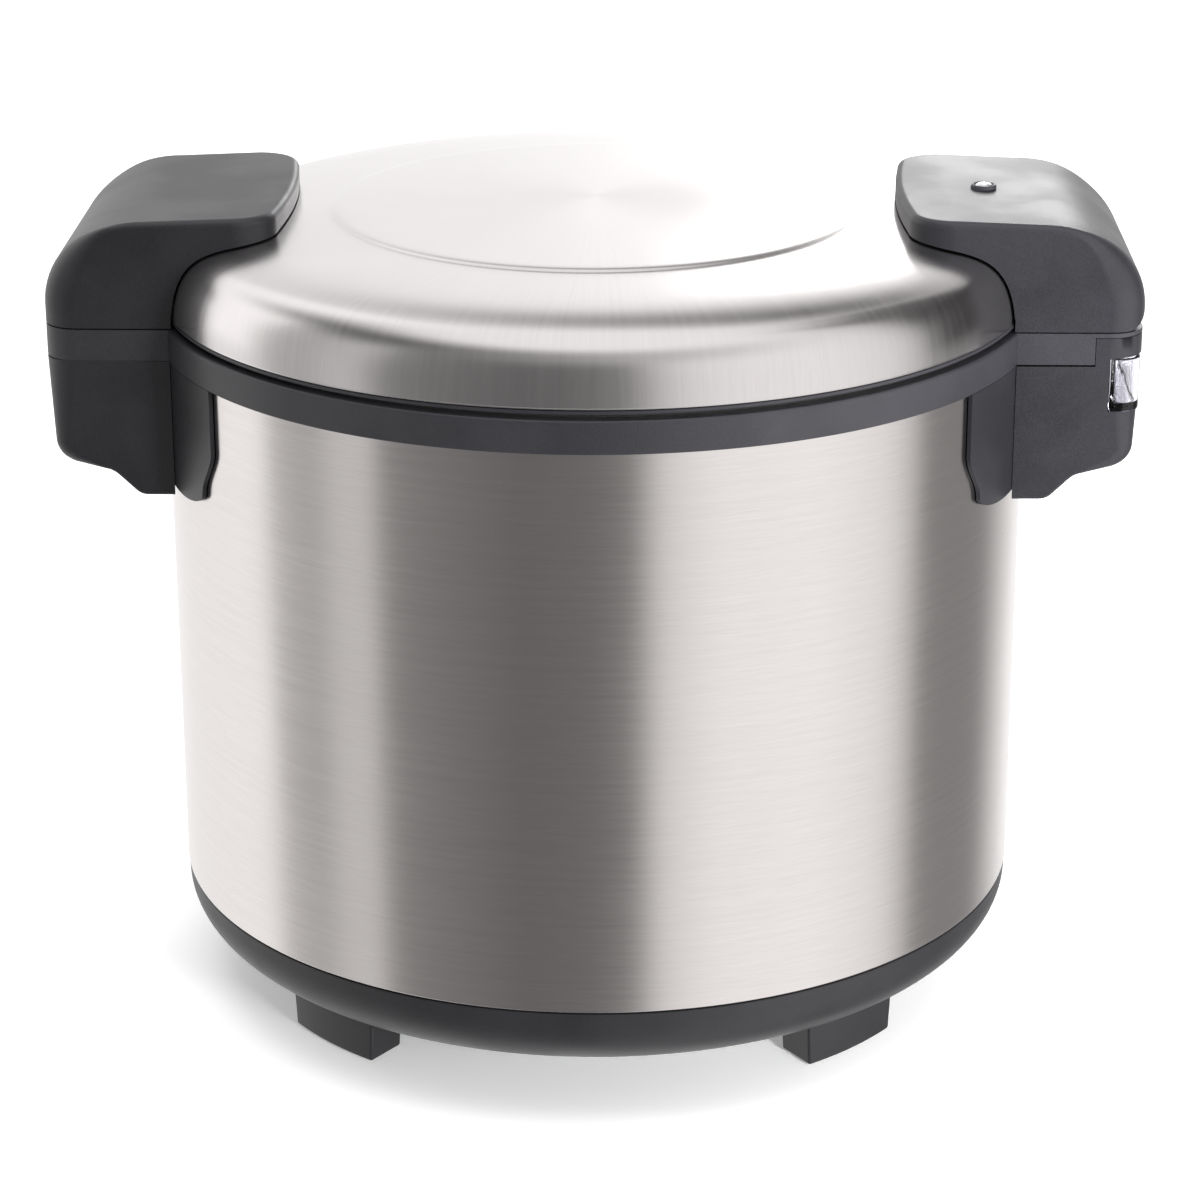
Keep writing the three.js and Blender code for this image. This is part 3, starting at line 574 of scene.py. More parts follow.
low, high = extent("foot_pad_rear_right")
pad = prism("pad", sector(FOOT_OUTER - PAD_INSET, FOOT_INNER + PAD_INSET, FOOT_SPREAD - 1.5), low.z, high.z)
softened(pad, 0.5, 2, 40)
GROOVES, GROOVE_PITCH = 5, 2.4
grooves = []
for k in range(GROOVES):
    r = FOOT_INNER + 6.5 + k * GROOVE_PITCH
    grooves.append(block("groove", (r - 0.4, -40, -1), (r + 0.4, 40, 0.8)))
joined(pad, grooves)
rubber = moulded("rubber", (0.012, 0.012, 0.012, 1), (0.022, 0.022, 0.021, 1), 0.8, 0.0016, 0.00008)
pads = ringed("foot_pads", pad, CORNERS, 45, rubber)
fitted(pads, rubber, "base", "rubber", *(f"foot_pad_{name}" for name in corner_names))


# ---- Drum ----
# The outer wall: one sheet of stainless steel, rolled round and brushed along its length, so that the
# grain runs level round the drum. Its edges are hemmed into the base below and the ring above.
brushing, given, out = group("brushing", {"Place": (0, 0, 0), "Line": 0.0003}, ["Lines", "Streaks"])
for label, wider, detail in (("Lines", 1, 3), ("Streaks", 7, 2)):
    size = math_node(brushing, "MULTIPLY", given["Line"], wider)
    scale = math_node(brushing, "DIVIDE", 1.0, size)
    cloud = node(brushing, "ShaderNodeTexNoise", {"Vector": given["Place"], "Scale": scale, "Detail": detail})
    brushing.links.new(rise(brushing, cloud.outputs["Fac"], 0.25, 0.75), out[label])


def flattened(tree, place):
    """A place without its height."""
    values = {0: place, 1: (1, 1, 0)}
    return node(tree, "ShaderNodeVectorMath", values, operation="MULTIPLY").outputs["Vector"]


def level_grain(tree):
    """Level lines: fine up the drum and long round it."""
    place = node(tree, "ShaderNodeTexCoord").outputs["Object"]
    return node(tree, "ShaderNodeMapping", {"Vector": place, "Scale": (0.025, 0.025, 1)}).outputs["Vector"]


def radial_grain(tree):
    """Lines that run out from the axis: fine round it and long outwards."""
    place = node(tree, "ShaderNodeTexCoord").outputs["Object"]
    flat = flattened(tree, place)
    reach = node(tree, "ShaderNodeVectorMath", {0: flat}, operation="LENGTH").outputs["Value"]
    spoke = node(tree, "ShaderNodeVectorMath", {0: flat}, operation="NORMALIZE").outputs["Vector"]
    wide = scaled(tree, spoke, 0.2)
    out = math_node(tree, "MULTIPLY", reach, 0.03)
    rise_z = math_node(tree, "MULTIPLY", node(tree, "ShaderNodeSeparateXYZ", {0: place}).outputs["Z"], 0.03)
    slow = node(tree, "ShaderNodeCombineXYZ", {"X": out, "Z": rise_z}).outputs["Vector"]
    return node(tree, "ShaderNodeVectorMath", {0: wide, 1: slow}, operation="ADD").outputs["Vector"]


def spun_grain(tree):
    """Rings about the axis, as a spinning tool leaves them."""
    place = node(tree, "ShaderNodeTexCoord").outputs["Object"]
    flat = flattened(tree, place)
    reach = node(tree, "ShaderNodeVectorMath", {0: flat}, operation="LENGTH").outputs["Value"]
    rings = node(tree, "ShaderNodeCombineXYZ", {"X": reach}).outputs["Vector"]
    upright = node(tree, "ShaderNodeMapping", {"Vector": place, "Scale": (0.02, 0.02, 1)}).outputs["Vector"]
    return node(tree, "ShaderNodeVectorMath", {0: rings, 1: upright}, operation="ADD").outputs["Vector"]


def metal(name, grain, dark, light, roughness, line=0.0003, relief=0.000012, stretch=0.0, turn=0.0):
    """Sheet metal with a directed grain. Stretch spreads its highlights across the grain."""
    material, tree, shader = finish(name)
    place = node(tree, "ShaderNodeTexCoord").outputs["Object"]
    lines = use(tree, brushing, {"Place": grain(tree), "Line": line})
    marks = use(tree, handling, {"Place": place, "Patch size": 0.07, "Grit size": 0.004})
    tint = weighed(tree, lines["Lines"], 0.6, lines["Streaks"], 0.4)
    shine = math_node(tree, "MULTIPLY_ADD", lines["Streaks"], 0.025, roughness - 0.03)
    shine = math_node(tree, "MULTIPLY_ADD", marks["Patches"], 0.03, shine)
    fed(tree, shader, {"Base Color": mixed(tree, tint, dark, light), "Roughness": shine,
                       "Normal": raised(tree, lines["Lines"], 0.6, relief), "Metallic": 1,
                       "Anisotropic": stretch, "Anisotropic Rotation": turn})
    if stretch:
        around = node(tree, "ShaderNodeTangent", direction_type="RADIAL", axis="Z")
        tree.links.new(around.outputs["Tangent"], shader.inputs["Tangent"])
    return material


drum_steel = metal("drum_steel", level_grain, (0.68, 0.645, 0.63, 1), (0.74, 0.70, 0.685, 1), 0.25,
                   line=0.00035, relief=0.0000005, stretch=0.75, turn=0.25)
lid_steel = metal("lid_steel", radial_grain, (0.63, 0.605, 0.60, 1), (0.68, 0.65, 0.645, 1), 0.22,
                  line=0.0004, relief=0.000002, stretch=0.45)

low, high = extent("drum_shell")
DRUM_R, DRUM_BOTTOM, DRUM_TOP = high.x, low.z, high.z
STEEL = 1.2
profile = eased([(DRUM_R - STEEL, DRUM_BOTTOM, 0.3), (DRUM_R, DRUM_BOTTOM, 0.8), (DRUM_R, DRUM_TOP, 0.4),
                 (DRUM_R - STEEL, DRUM_TOP, 0.4)], 30)
drum = turned("drum", profile)
SCREW_ANGLE, BORE_R = 15, SHANK_R + 0.3
low, high = extent("bracket_screw_1")
SCREW_Z = (low.z + high.z) / 2


def screw_bores():
    """The holes that the bracket screws pass, near the rear and the front of the drum."""
    bores = []
    for degrees in (SCREW_ANGLE, -SCREW_ANGLE, 180 + SCREW_ANGLE, 180 - SCREW_ANGLE):
        bore = rod("bore", BORE_R, DRUM_R - 15, DRUM_R + 15, (0, SCREW_Z), "x", 24)
        bore.data.transform(Matrix.Rotation(math.radians(degrees), 4, "Z"))
        bores.append(bore)
    return bores


low, high = extent("power_inlet")
inlet_z = (low.z + high.z) / 2
WINDOW_WIDE, WINDOW_TALL = 17, 13
sides = oblong((-WINDOW_WIDE, inlet_z - WINDOW_TALL), (WINDOW_WIDE, inlet_z + WINDOW_TALL), 3, 20)
window = prism("window", sides, DRUM_R - 15, DRUM_R + 10, "x")
joined(drum, [*screw_bores(), window])
fitted(drum, drum_steel, "base", "brushed_steel", "drum_shell")


# ---- Power inlet ----
# An appliance inlet with three blades for a detachable lead: black plastic with plated brass blades. Its
# flange is clamped behind the sheet.
FLANGE_FROM, FLANGE_TO = 193.5, 196.8
mouth_x, socket_x = high.x, 183
flange = softened(block("power_socket", (FLANGE_FROM, low.y, low.z), (FLANGE_TO, high.y, high.z)), 0.6, 2)
BARREL, MOUTH = (16.6, 12.6), (13.5, 9.5)


def opening(half_y, half_z, x0, x1, ease):
    """A rounded bar along X through the middle of the inlet."""
    outline = oblong((-half_y, inlet_z - half_z), (half_y, inlet_z + half_z), ease, 20)
    return prism("bar", outline, x0, x1, "x")


barrel = softened(opening(*BARREL, low.x, mouth_x, 3), 0.4, 2, 50)
joined(flange, [barrel], "UNION")
joined(flange, [opening(*MOUTH, socket_x, mouth_x + 5, 2)])
fitted(flange, black_plastic, "base", "black_plastic", "power_inlet")
blades = []
for y, z in ((-7, -2), (7, -2), (0, 3)):
    blade = block("blade", (socket_x + 0.02, y - 1, inlet_z + z - 2.5), (190, y + 1, inlet_z + z + 2.5))
    blades.append(softened(blade, 0.35, 2))
nickel = plated("nickel_plate", (0.66, 0.63, 0.56, 1), 0.2)
contacts = joined(blades[0], blades[1:], "UNION")
contacts.name = "inlet_blades"
fitted(contacts, nickel, "base", "spring_steel")


# ---- Well and its heaters ----
# The spun aluminium liner, the glass wool round it, the mica band heater, the cast heater plate with the
# sensor through its middle. They are closed in by the drum, so the frame's own parts are kept.
def fibrous(name, dark, light, roughness, size):
    """Matted or layered stuff: a cloudy colour and a rough, raised surface."""
    material, tree, shader = finish(name)
    place = node(tree, "ShaderNodeTexCoord").outputs["Object"]
    marks = use(tree, handling, {"Place": place, "Patch size": size * 8, "Grit size": size})
    shade = weighed(tree, marks["Patches"], 0.5, marks["Grit"], 0.5)
    fed(tree, shader, {"Base Color": mixed(tree, shade, dark, light), "Roughness": roughness,
                       "Normal": raised(tree, marks["Grit"], 0.8, size / 3)})
    return material


aluminium = metal("spun_aluminium", spun_grain, (0.66, 0.665, 0.67, 1), (0.78, 0.785, 0.79, 1), 0.34,
                  line=0.0005, relief=0.00002)
wool = fibrous("glass_wool", (0.55, 0.47, 0.24, 1), (0.80, 0.73, 0.48, 1), 0.95, 0.002)
mica = fibrous("mica", (0.36, 0.25, 0.12, 1), (0.55, 0.42, 0.24, 1), 0.6, 0.003)
cast = fibrous("cast_aluminium", (0.42, 0.42, 0.43, 1), (0.56, 0.56, 0.57, 1), 0.5, 0.001)
cast.node_tree.nodes["Principled BSDF"].inputs["Metallic"].default_value = 1


def dressed(name, material, slot):
    """Keeps a part of the frame and gives it its finish."""
    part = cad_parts[name]
    part.data.materials.clear()
    part.data.materials.append(material)


dressed("inner_liner", aluminium, "spun_aluminium")
dressed("insulation_blanket", wool, "glass_wool")
dressed("warming_band", mica, "mica")
dressed("heater_plate", cast, "cast_aluminium")
dressed("sensor_cap", aluminium, "spun_aluminium")
dressed("sensor_bracket", zinc, "spring_steel")


# ---- Springs ----
# The sensor's compression spring under the heater plate and the torsion spring on the hinge pin, both
# wound from round steel wire. Each is held by what it is threaded on.
def coil_tree():
    """Winds round wire into an open coil, from its start along its own axis."""
    tree, given = grower("coil_of_wire", {"Radius": "Float", "Wire": "Float", "Length": "Float",
                                          "Turns": "Float", "Start": "Vector", "Lean": "Rotation",
                                          "Finish": "Material"})
    path = node(tree, "GeometryNodeCurveSpiral", {"Resolution": 28, "Rotations": given["Turns"],
                "Start Radius": given["Radius"], "End Radius": given["Radius"], "Height": given["Length"]})
    section = node(tree, "GeometryNodeCurvePrimitiveCircle", {"Resolution": 12,
                   "Radius": math_node(tree, "MULTIPLY", given["Wire"], 0.5)})
    wire = node(tree, "GeometryNodeCurveToMesh", {"Curve": path.outputs[0],
                "Profile Curve": section.outputs[0], "Fill Caps": True})
    placed = node(tree, "GeometryNodeTransform", {"Geometry": wire.outputs[0], "Translation": given["Start"],
                  "Rotation": given["Lean"]})
    return given_out(tree, placed.outputs[0], given["Finish"])


coil_of_wire = coil_tree()
spring_wire = plated("spring_wire", (0.42, 0.42, 0.43, 1), 0.3)


def coil(name, radius, wire, length, turns, start, lean, *nodes):
    values = {"Radius": radius * MM, "Wire": wire * MM, "Length": length * MM, "Turns": turns,
              "Start": [axis * MM for axis in start], "Lean": lean, "Finish": spring_wire}
    made = grown(name, coil_of_wire, values)
    fitted(made, spring_wire, "base", "spring_steel", *nodes)
    return made


low, high = extent("sensor_spring")
WIRE, SENSOR_TRAVEL = 1.6, 2
sensor_coil = coil("sensor_coil", high.x - WIRE / 2, WIRE, high.z - low.z - WIRE, 6, (0, 0, low.z + WIRE / 2),
                   (0, 0, 0), "sensor_spring")
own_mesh(sensor_coil)
low, high = extent("hinge_spring")
hinge_x, hinge_z = (low.x + high.x) / 2, (low.z + high.z) / 2
HINGE_WIRE = 1.3
coil("hinge_coil", (high.x - low.x - HINGE_WIRE) / 2, HINGE_WIRE, high.y - low.y - HINGE_WIRE, 9,
     (hinge_x, high.y - HINGE_WIRE / 2, hinge_z), (math.pi / 2, 0, 0), "hinge_spring")


# ---- Inner pot ----
# The pot that holds the rice: spun from aluminium sheet, with a flat rim. It is dropped into the liner
# and hangs by its rim.
low, high = extent("inner_pot")
POT_R, POT_WALL, POT_CORNER, RIM_T = 168, 2.4, 22, 2
rim_r, rim_top, pot_bottom = high.x, high.z, low.z
profile = eased([(0, pot_bottom), (POT_R, pot_bottom, POT_CORNER), (POT_R, rim_top - RIM_T, 0.8),
                 (rim_r, rim_top - RIM_T, 0.9), (rim_r, rim_top, 0.9), (POT_R - POT_WALL, rim_top, 1.8),
                 (POT_R - POT_WALL, pot_bottom + POT_WALL, POT_CORNER - POT_WALL),
                 (0, pot_bottom + POT_WALL)], 9)
fitted(turned("rice_pot", profile), aluminium, "inner_pot", "spun_aluminium", "inner_pot")


# ---- Top ring ----
# One black moulding: the band round the drum's top, the ledge that the liner hangs from, and the two
# shelves that carry the side blocks. The rear shelf has the two hinge lugs, the front one the hook's slot.
low, high = extent("top_ring")
BAND_R, BAND_BOTTOM, BAND_TOP = high.y, low.z, 331
MOUTH_R, LEDGE_TOP, LEDGE_R = 184.5, 323, 175.5
FIT = 0.3
SLEEVE_R = DRUM_R + FIT
seat = DRUM_TOP + FIT
profile = eased([(BAND_R, BAND_BOTTOM, 0.5), (BAND_R, BAND_TOP, 1.3), (MOUTH_R, BAND_TOP, 1.6),
                 (MOUTH_R, LEDGE_TOP, 0.6), (LEDGE_R, LEDGE_TOP, 0.6), (LEDGE_R, seat, 0.5), (SLEEVE_R, seat),
                 (SLEEVE_R, BAND_BOTTOM, 0.4)], 20)
ring = turned("top_ring_moulding", profile)

BLOCK_HALF, BLOCK_END, BLOCK_EDGE, BLOCK_START = 68, high.x, 16, 150
WALL = 3
ROOM_START = 207
REAR_SEAM = 225.8
PIN_R = 3


def plan(start, end, half, edge):
    """The plan of a side block: square where it meets the drum, rounded at its outer end."""
    return eased([(start, -half), (end, -half, edge), (end, half, edge), (start, half)], 9)


def about(piece):
    """Turns a piece drawn for the rear round to the front."""
    piece.data.transform(Matrix.Rotation(math.pi, 4, "Z"))
    return piece


def shelf(cuts):
    """A shelf, hollow from below outside the band, less what the cuts take away."""
    outline = plan(BLOCK_START, BLOCK_END, BLOCK_HALF, BLOCK_EDGE)
    made = softened(prism("shelf", outline, BAND_BOTTOM, BAND_TOP), 0.5, 2, 50)
    inside = plan(ROOM_START, BLOCK_END - WALL, BLOCK_HALF - WALL, BLOCK_EDGE - WALL)
    room = prism("room", inside, 310, BAND_TOP - 4)
    bore = rod("bore", SLEEVE_R + 0.6, 300, 340, (0, 0), steps=STEPS)
    return joined(made, [room, bore, *cuts])


hook_slot = block("slot", (214, -14, 320), (238.2, 14, 340))
front_shelf = about(shelf([softened(hook_slot, 0.3)]))
rear_shelf = shelf([block("step", (REAR_SEAM, -80, 310), (250, 80, 329))])
LUGS, LUG_HALF = (-32, 32), 6
KNUCKLE_R = 8.4
lugs = []
for y in LUGS:
    lug = rod("lug", KNUCKLE_R, y - LUG_HALF, y + LUG_HALF, (hinge_x, hinge_z), "y", 64)
    foot_z = BAND_TOP - 5
    neck = block("neck", (hinge_x - 7.5, y - LUG_HALF, foot_z), (hinge_x + 5, y + LUG_HALF, hinge_z))
    lugs.append(softened(joined(lug, [neck], "UNION"), 0.6))
stiffener = block("stiffener", (212, -44, 322), (241, 44, 330))
joined(rear_shelf, [stiffener, *lugs], "UNION")
joined(rear_shelf, [rod("bore", PIN_R + FIT, -70, 70, (hinge_x, hinge_z), "y")])
joined(ring, [front_shelf, rear_shelf], "UNION")
fitted(ring, ring_plastic, "base", "black_plastic", "top_ring")


# ---- Catch plate ----
# A zinc-plated steel plate with the window that the latch hook drops through. It is held under the front
# shelf, where it takes the hook's wear off the plastic.
low, high = extent("latch_catch")
catch = softened(block("catch_plate", low, high), 0.3)
joined(catch, [block("window", (-235.8, -15, 320), (-215, 15, 330))])
fitted(catch, zinc, "base", "brushed_steel", "latch_catch")


# ---- Saddle brackets ----
# Two black plastic plates moulded to the drum's curve. Each is screwed between the drum and a side
# block, spreads the block's load over the sheet, and narrows towards its lower end.
low, high = extent("saddle_bracket_rear")
BRACKET_T = 2
SADDLE_WIDE, SADDLE_WAIST, SADDLE_TOE = 34, 31, 22
WAIST_Z, TAPER_Z = low.z + 8, low.z + 30


def saddle_half(z):
    """Half the bracket's angle at a height, in degrees: full, then tapered, then rounded at the toe."""
    if z > TAPER_Z:
        return SADDLE_WIDE
    if z > WAIST_Z:
        t = (TAPER_Z - z) / (TAPER_Z - WAIST_Z)
        return SADDLE_WIDE + (SADDLE_WAIST - SADDLE_WIDE) * t * t * (3 - 2 * t)
    t = (WAIST_Z - z) / (WAIST_Z - low.z)
    return SADDLE_TOE + (SADDLE_WAIST - SADDLE_TOE) * math.sqrt(max(0, 1 - t * t))


def saddle(name):
    toe = [low.z + (WAIST_Z - low.z) * (1 - math.cos(math.pi / 2 * k / 10)) for k in range(11)]
    body = [WAIST_Z + (TAPER_Z - WAIST_Z) * k / 10 for k in range(1, 11)]
    rows = [*toe, *body, (TAPER_Z + high.z) / 2, high.z]
    across = 48
    points, faces = [], []
    for radius in (SLEEVE_R, SLEEVE_R + BRACKET_T):
        for z in rows:
            half = math.radians(saddle_half(z))
            sweep = [half * (2 * k / across - 1) for k in range(across + 1)]
            points += [(radius * math.cos(a), radius * math.sin(a), z) for a in sweep]
    wide, tall = across + 1, len(rows)
    side = wide * tall

    def at(layer, row, column):
        return layer * side + row * wide + column

    for layer in (0, 1):
        faces += [(at(layer, r, c), at(layer, r, c + 1), at(layer, r + 1, c + 1), at(layer, r + 1, c))
                  for r in range(tall - 1) for c in range(across)]
    loop = [(0, c) for c in range(across)] + [(r, across) for r in range(tall - 1)]
    loop += [(tall - 1, c) for c in range(across, 0, -1)] + [(r, 0) for r in range(tall - 1, 0, -1)]
    for (r0, c0), (r1, c1) in zip(loop, loop[1:] + loop[:1]):
        faces.append((at(0, r0, c0), at(0, r1, c1), at(1, r1, c1), at(1, r0, c0)))
    return softened(shape_of(name, points, faces), 0.5, 2, 40)


for name, turn_round in (("rear", False), ("front", True)):
    plate = saddle(f"saddle_{name}")
    if turn_round:
        about(plate)
    joined(plate, screw_bores())
    fitted(plate, black_plastic, "base", "black_plastic", f"saddle_bracket_{name}")


# ---- Grip housings ----
# The lower half of each side block: a hollow moulding, open underneath for the fingers, whose skin folds
# over from its end face onto flat flanks with an edge that widens up the end face.
def wrapped(name, path, half, ease, drop, nose=()):
    """A moulding whose skin follows a side-view path and folds over onto flat flanks.

    ease gives the fold's radius at a path point, drop is the side view's remaining corners, and nose is
    the plan of a rounded first end, as (x, y, out_x, out_y) points from one flank to the other."""
    folds = 8
    count = len(path)
    stations = []
    for i, (x, z) in enumerate(path):
        before, after = path[max(i - 1, 0)], path[min(i + 1, count - 1)]
        one = Vector((x - before[0], z - before[1])).normalized()
        two = Vector((after[0] - x, after[1] - z)).normalized()
        along = (one + two).normalized()
        stations.append((x, z, along.y, -along.x, ease(x, z)))
    points, faces = [], []
    for k in range(folds + 1):
        a = math.pi / 2 * k / folds
        left, right = [], []
        for x, z, nx, nz, r in stations:
            depth, inset = r * (1 - math.cos(a)), r * (1 - math.sin(a))
            spot = (x + nx * depth, z + nz * depth)
            left.append((spot[0], -half + inset, spot[1]))
            right.append((spot[0], half - inset, spot[1]))
        r, top = stations[0][4], stations[0][1]
        depth, inset = r * (1 - math.cos(a)), r * (1 - math.sin(a))
        middle = [(x - ox * inset, y - oy * inset, top - depth) for x, y, ox, oy in nose]
        points += left[::-1] + middle + right
    length = 2 * count + len(nose)
    for k in range(folds):
        base = k * length
        faces += [(base + j, base + j + 1, base + j + 1 + length, base + j + length)
                  for j in range(length - 1)]
    lefts = [count - 1 - i for i in range(count)]
    rights = [count + len(nose) + i for i in range(count)]
    faces += [(lefts[i], lefts[i + 1], rights[i + 1], rights[i]) for i in range(count - 1)]
    outer = folds * length
    base = len(points)
    if nose:
        faces.append([*range(lefts[0], rights[0] + 1)])
        floor_z = drop[0][1]
        ends = [(points[outer + j][0], points[outer + j][1], floor_z) for j in range(lefts[0], rights[0] + 1)]
        points += ends
        faces += [(outer + lefts[0] + j, outer + lefts[0] + j + 1, base + j + 1, base + j)
                  for j in range(len(ends) - 1)]
        section = [k * length for k in range(folds, -1, -1)]
        section += [k * length + length - 1 for k in range(folds + 1)]
        faces.append([*section, *range(base + len(ends) - 1, base - 1, -1)])
        faces.append([outer + j for j in range(count)] + [base])
        faces.append([outer + j for j in range(length - count, length)] + [base + len(ends) - 1])
        return shape_of(name, points, faces)
    points += [(x, -half, z) for x, z in drop] + [(x, half, z) for x, z in drop]
    back = list(range(base, base + len(drop)))
    fore = [j + len(drop) for j in back]
    faces.append([outer + j for j in range(count)] + back)
    faces.append([outer + length - 1 - j for j in range(count)] + fore)
    tip = [k * length for k in range(folds, -1, -1)] + [k * length + length - 1 for k in range(folds + 1)]
    faces.append(tip + [fore[0], back[0]])
    heel = [k * length + count - 1 for k in range(folds, -1, -1)]
    heel += [k * length + count for k in range(folds + 1)]
    faces.append(heel + [fore[-1], back[-1]])
    faces += [(back[j], back[j + 1], fore[j + 1], fore[j]) for j in range(len(drop) - 1)]
    return shape_of(name, points, faces)


low, high = extent("grip_housing_front")
GRIP_BOTTOM, GRIP_TOP, CEILING = low.z, high.z, 290
HOUSING_R = SLEEVE_R + BRACKET_T + FIT
ROOM_END, ROOM_EDGE = BLOCK_END - WALL, BLOCK_EDGE - WALL
TOE_X, TOE_Z, TOE_R = 244.6, 268.4, 11
SIDE_FOLD, TOE_FOLD, END_FOLD = 1.6, 8, BLOCK_EDGE


def smooth(value, start, end):
    """0 before start, 1 after end, and smooth between."""
    t = min(1, max(0, (value - start) / (end - start)))
    return t * t * (3 - 2 * t)


def housing_fold(x, z):
    """The fold is tight under the housing and widens round the toe to the end face's full radius."""
    widening = (TOE_FOLD - SIDE_FOLD) * smooth(x, 226, TOE_X - 4)
    return SIDE_FOLD + widening + (END_FOLD - TOE_FOLD) * smooth(z, TOE_Z + TOE_R, TOE_Z + 32)


def housing(name, top, room_end, cuts=()):
    """A housing with the finger opening below its ceiling and a room above it, out to the room's end."""
    corners = [(BLOCK_END, GRIP_TOP), (TOE_X, TOE_Z, TOE_R), (219, 264.6, 11), (206.5, GRIP_BOTTOM, 8),
               (BLOCK_START, GRIP_BOTTOM)]
    path = eased(corners, 6)
    if top > GRIP_TOP:
        path.insert(0, (BLOCK_END, top))
    shell = wrapped(name, path, BLOCK_HALF, housing_fold, [(BLOCK_START, top)])
    rooms = []
    fingers, above = (ROOM_END - 2, GRIP_BOTTOM - 10, CEILING - WALL), (room_end, CEILING, top + 5)
    for end, floor_z, roof_z in (fingers, above):
        outline = plan(BLOCK_START - 5, end, BLOCK_HALF - WALL, ROOM_EDGE)
        back = rod("back", HOUSING_R + WALL, 200, 345, (0, 0), steps=STEPS)
        rooms.append(joined(prism("room", outline, floor_z, roof_z), [back]))
    sleeve = rod("sleeve", HOUSING_R, 200, 345, (0, 0), steps=STEPS)
    return joined(shell, [*rooms, sleeve, *cuts])


cup_low, cup_high = extent("dew_cup")
CUP_GAP = 0.4
rim_top = extent("grip_housing_rear")[1].z
recess = prism("recess", plan(cup_low.x - 0.5, 262, 80, 5), cup_low.z - CUP_GAP, cup_high.z + CUP_GAP)
step = block("step", (BLOCK_START - 5, -80, GRIP_TOP), (REAR_SEAM + FIT, 80, 345))
rear_housing = housing("rear_grip", rim_top, cup_low.x - WALL - 0.6, [step, recess])
room = prism("room", plan(REAR_SEAM - 5, ROOM_END, BLOCK_HALF - WALL, ROOM_EDGE), 300, 345)
joined(rear_housing, [room, *screw_bores()])
fitted(rear_housing, black_plastic, "base", "black_plastic", "grip_housing_rear")

low, high = extent("control_bezel")
CONTROL_Z = (low.z + high.z) / 2
BEZEL_X = low.x
ROCKER_Y, LAMPS_Y = -30, (22, 40)
ROCKER_WIDE, ROCKER_TALL, BUTTON_HOLE_R, LAMP_HOLE_R = 12, 6, 7.6, 4.3


def control_holes(x0, x1):
    """The openings for the rocker, the button and the two lamps."""
    sides = oblong((ROCKER_Y - ROCKER_WIDE, CONTROL_Z - ROCKER_TALL),
                   (ROCKER_Y + ROCKER_WIDE, CONTROL_Z + ROCKER_TALL), 1.5, 30)
    holes = [prism("hole", sides, x0, x1, "x"), rod("hole", BUTTON_HOLE_R, x0, x1, (0, CONTROL_Z), "x")]
    return holes + [rod("hole", LAMP_HOLE_R, x0, x1, (y, CONTROL_Z), "x", 32) for y in LAMPS_Y]


front_housing = about(housing("front_grip", GRIP_TOP, ROOM_END))
joined(front_housing, [*screw_bores(), *control_holes(-BLOCK_END - 1, -BLOCK_END + 5)])
fitted(front_housing, black_plastic, "base", "black_plastic", "grip_housing_front")


# ---- Bracket screws ----
# Two zinc-plated steel screws behind each block. They pass through housing, bracket and drum, and are
# reached from the finger opening.
head_r = HOUSING_R + WALL + FIT
bracket_screw = screw("bracket_screw", HEAD_R, 2.4, SHANK_R, head_r - DRUM_R + 5)
lay = Matrix.Translation(Vector((head_r, 0, SCREW_Z)) * MM) @ Matrix.Rotation(-math.pi / 2, 4, "Y")
bracket_screw.data.transform(lay)
bracket_screw.data.transform(Matrix.Rotation(math.radians(SCREW_ANGLE), 4, "Z"))
twin = bracket_screw.copy()
twin.data = bracket_screw.data.copy()
bpy.context.scene.collection.objects.link(twin)
twin.data.transform(Matrix.Rotation(math.radians(-2 * SCREW_ANGLE), 4, "Z"))
pair = joined(bracket_screw, [twin], "UNION")
fitted(ringed("bracket_screws", pair, 2, 0, zinc), zinc, "base", "spring_steel",
       *(f"bracket_screw_{i}" for i in range(1, 5)))


# ---- Dew cup ----
# A clear box that slides into the end of the rear block and catches what runs off the lid. It is
# moulded in faintly violet clear plastic, with rounded outer corners and a thick floor.
CUP_WALL, CUP_FLOOR, CUP_EDGE = 1.8, 3, 8.5
outline = plan(cup_low.x, cup_high.x, cup_high.y - 0.6, CUP_EDGE)
cup = softened(prism("dew_cup_moulding", outline, cup_low.z, cup_high.z), 0.35, 2, 50)
outline = plan(cup_low.x, cup_high.x, cup_high.y, CUP_EDGE + 0.5)
flange = softened(prism("flange", outline, cup_low.z, cup_low.z + 2.2), 0.35, 2, 50)
joined(cup, [flange], "UNION")
back_x, end_x, hollow_half = cup_low.x + CUP_WALL, cup_high.x - CUP_WALL, 66
outline = eased([(back_x, -hollow_half, 1), (end_x, -hollow_half, CUP_EDGE - 2),
                 (end_x, hollow_half, CUP_EDGE - 2), (back_x, hollow_half, 1)], 9)
hollow = prism("hollow", outline, cup_low.z + CUP_FLOOR, cup_high.z + 5)
joined(cup, [softened(hollow, 0.8, 2, 60)])

clear, tree, shader = finish("clear_plastic")
place = node(tree, "ShaderNodeTexCoord").outputs["Object"]
marks = use(tree, handling, {"Place": place, "Patch size": 0.012, "Grit size": 0.003})
tall = node(tree, "ShaderNodeSeparateXYZ", {0: place}).outputs["Z"]
depth = rise(tree, tall, (cup_low.z + CUP_FLOOR) * MM, cup_low.z * MM)
tint = mixed(tree, depth, (0.95, 0.94, 0.985, 1), (0.62, 0.60, 0.93, 1))
haze = math_node(tree, "MULTIPLY_ADD", marks["Patches"], 0.03, 0.02)
fed(tree, shader, {"Base Color": tint, "Roughness": haze, "Transmission Weight": 1, "IOR": 1.49,
                   "Normal": raised(tree, marks["Patches"], 0.25, 0.0002)})
fitted(cup, clear, "dew_cup", "clear_plastic", "dew_cup")


